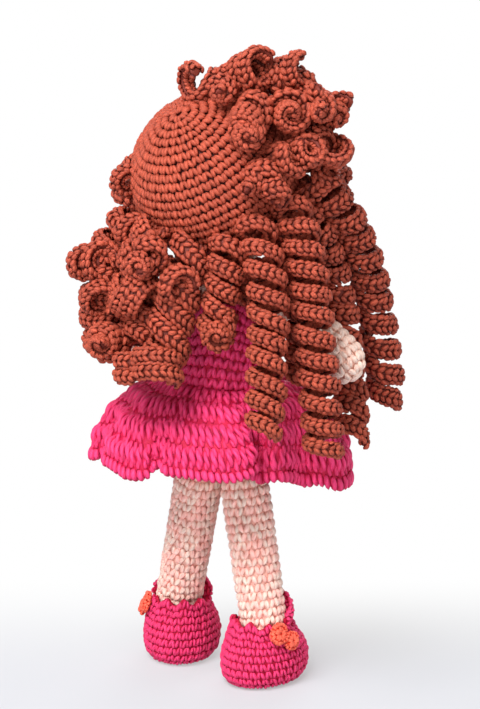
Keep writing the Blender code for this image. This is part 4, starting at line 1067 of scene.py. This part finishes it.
# the camera: its place, the photo's size and the doll's standing point in pixels, and metres
# in a pixel there
AZIMUTH, ELEVATION, DISTANCE = math.radians(205), math.radians(15), 1.240
IMAGE_WIDTH, IMAGE_HEIGHT, FOOT_RIGHT, FOOT_DOWN, PIXEL = 480, 709, 222, 664, 0.00045
SENSOR, LAMP_AIM = 36, Vector((0, 0, 0.14))


def white_to_camera(surface, shader, plain, share):
    """Shows plain white to the camera and to mirrors, mixed by a share with what is lit."""
    tree = surface.node_tree
    path = node(tree, "ShaderNodeLightPath").outputs
    seen = path["Is Camera Ray"]
    for ray in ("Is Glossy Ray", "Is Transmission Ray"):
        seen = maths(tree, "MAXIMUM", seen, path[ray])
    white = node(tree, plain, {"Color": (1, 1, 1, 1), "Strength": 1.0})
    mix = node(tree, "ShaderNodeMixShader", {
        0: maths(tree, "MULTIPLY", seen, share), 1: shader.outputs[0], 2: white.outputs[0]})
    output = next(other for other in tree.nodes if other.type.startswith("OUTPUT"))
    tree.links.new(mix.outputs[0], output.inputs["Surface"])


paper = bpy.data.materials.new("white_paper")
paper.use_nodes = True
tree = paper.node_tree
shader = tree.nodes["Principled BSDF"]
shader.inputs["Base Color"].default_value = PAPER_COLOUR
shader.inputs["Roughness"].default_value = 0.9
where = node(tree, "ShaderNodeTexCoord").outputs["Object"]
fades = []
for operation, start, end, nearest in FADES:
    away = node(tree, "ShaderNodeVectorMath", {0: where, 1: AWAY_FROM_CAMERA}, operation=operation)
    fades.append(node(tree, "ShaderNodeMapRange", {
        "Value": away.outputs["Value"], "From Min": start, "From Max": end, "To Min": nearest, "To Max": 1.0},
        interpolation_type="SMOOTHSTEP").outputs[0])
white_to_camera(paper, shader, "ShaderNodeEmission", maths(tree, "MAXIMUM", *fades))
floor_mesh = bpy.data.meshes.new("floor")
floor_corners = [(x * FLOOR_REACH, y * FLOOR_REACH, 0) for x, y in ((-1, -1), (1, -1), (1, 1), (-1, 1))]
floor_mesh.from_pydata(floor_corners, [], [(0, 1, 2, 3)])
floor_mesh.materials.append(paper)
floor = bpy.data.objects.new("floor", floor_mesh)
bpy.context.scene.collection.objects.link(floor)

world = bpy.data.worlds.new("studio")
bpy.context.scene.world = world
world.use_nodes = True
background = world.node_tree.nodes["Background"]
background.inputs["Color"].default_value = (1, 1, 1, 1)
background.inputs["Strength"].default_value = WORLD_LIGHT
white_to_camera(world, background, "ShaderNodeBackground", 1.0)

back = np.array((math.sin(AZIMUTH) * math.cos(ELEVATION), -math.cos(AZIMUTH) * math.cos(ELEVATION),
                 math.sin(ELEVATION)))
right = unit(np.array((-back[1], back[0], 0)))
up = np.cross(back, right)
camera_data = bpy.data.cameras.new("camera")
camera_data.sensor_fit = "VERTICAL"
camera_data.sensor_height = SENSOR
camera_data.lens = SENSOR * DISTANCE / (IMAGE_HEIGHT * PIXEL)
camera = bpy.data.objects.new("camera", camera_data)
camera.location = (standing_point - right * (FOOT_RIGHT - IMAGE_WIDTH / 2) * PIXEL
                   - up * (IMAGE_HEIGHT / 2 - FOOT_DOWN) * PIXEL + back * DISTANCE)
camera.rotation_mode = "QUATERNION"
camera.rotation_quaternion = Vector(back).to_track_quat("Z", "Y")
bpy.context.scene.collection.objects.link(camera)
bpy.context.scene.camera = camera

for name, place, size, power in (
        ("key_light", -right * 0.38 + up * 0.95 + back * 0.95, 0.7, 24.0),
        ("front_fill", (0.3, -1.3, 0.8), 1.0, 8.5),
        ("low_fill", back * 1.0 - right * 0.4 - up * 0.16, 0.8, 6.0),
        ("right_fill", back * 0.8 + right * 1.2 + up * 0.2, 0.9, 5.0)):
    light = bpy.data.lights.new(name, "AREA")
    light.size, light.energy = size, power
    lamp = bpy.data.objects.new(name, light)
    lamp.location = place
    lamp.rotation_mode = "QUATERNION"
    lamp.rotation_quaternion = (Vector(place) - LAMP_AIM).to_track_quat("Z", "Y")
    bpy.context.scene.collection.objects.link(lamp)
bpy.context.scene.view_settings.view_transform = "Standard"
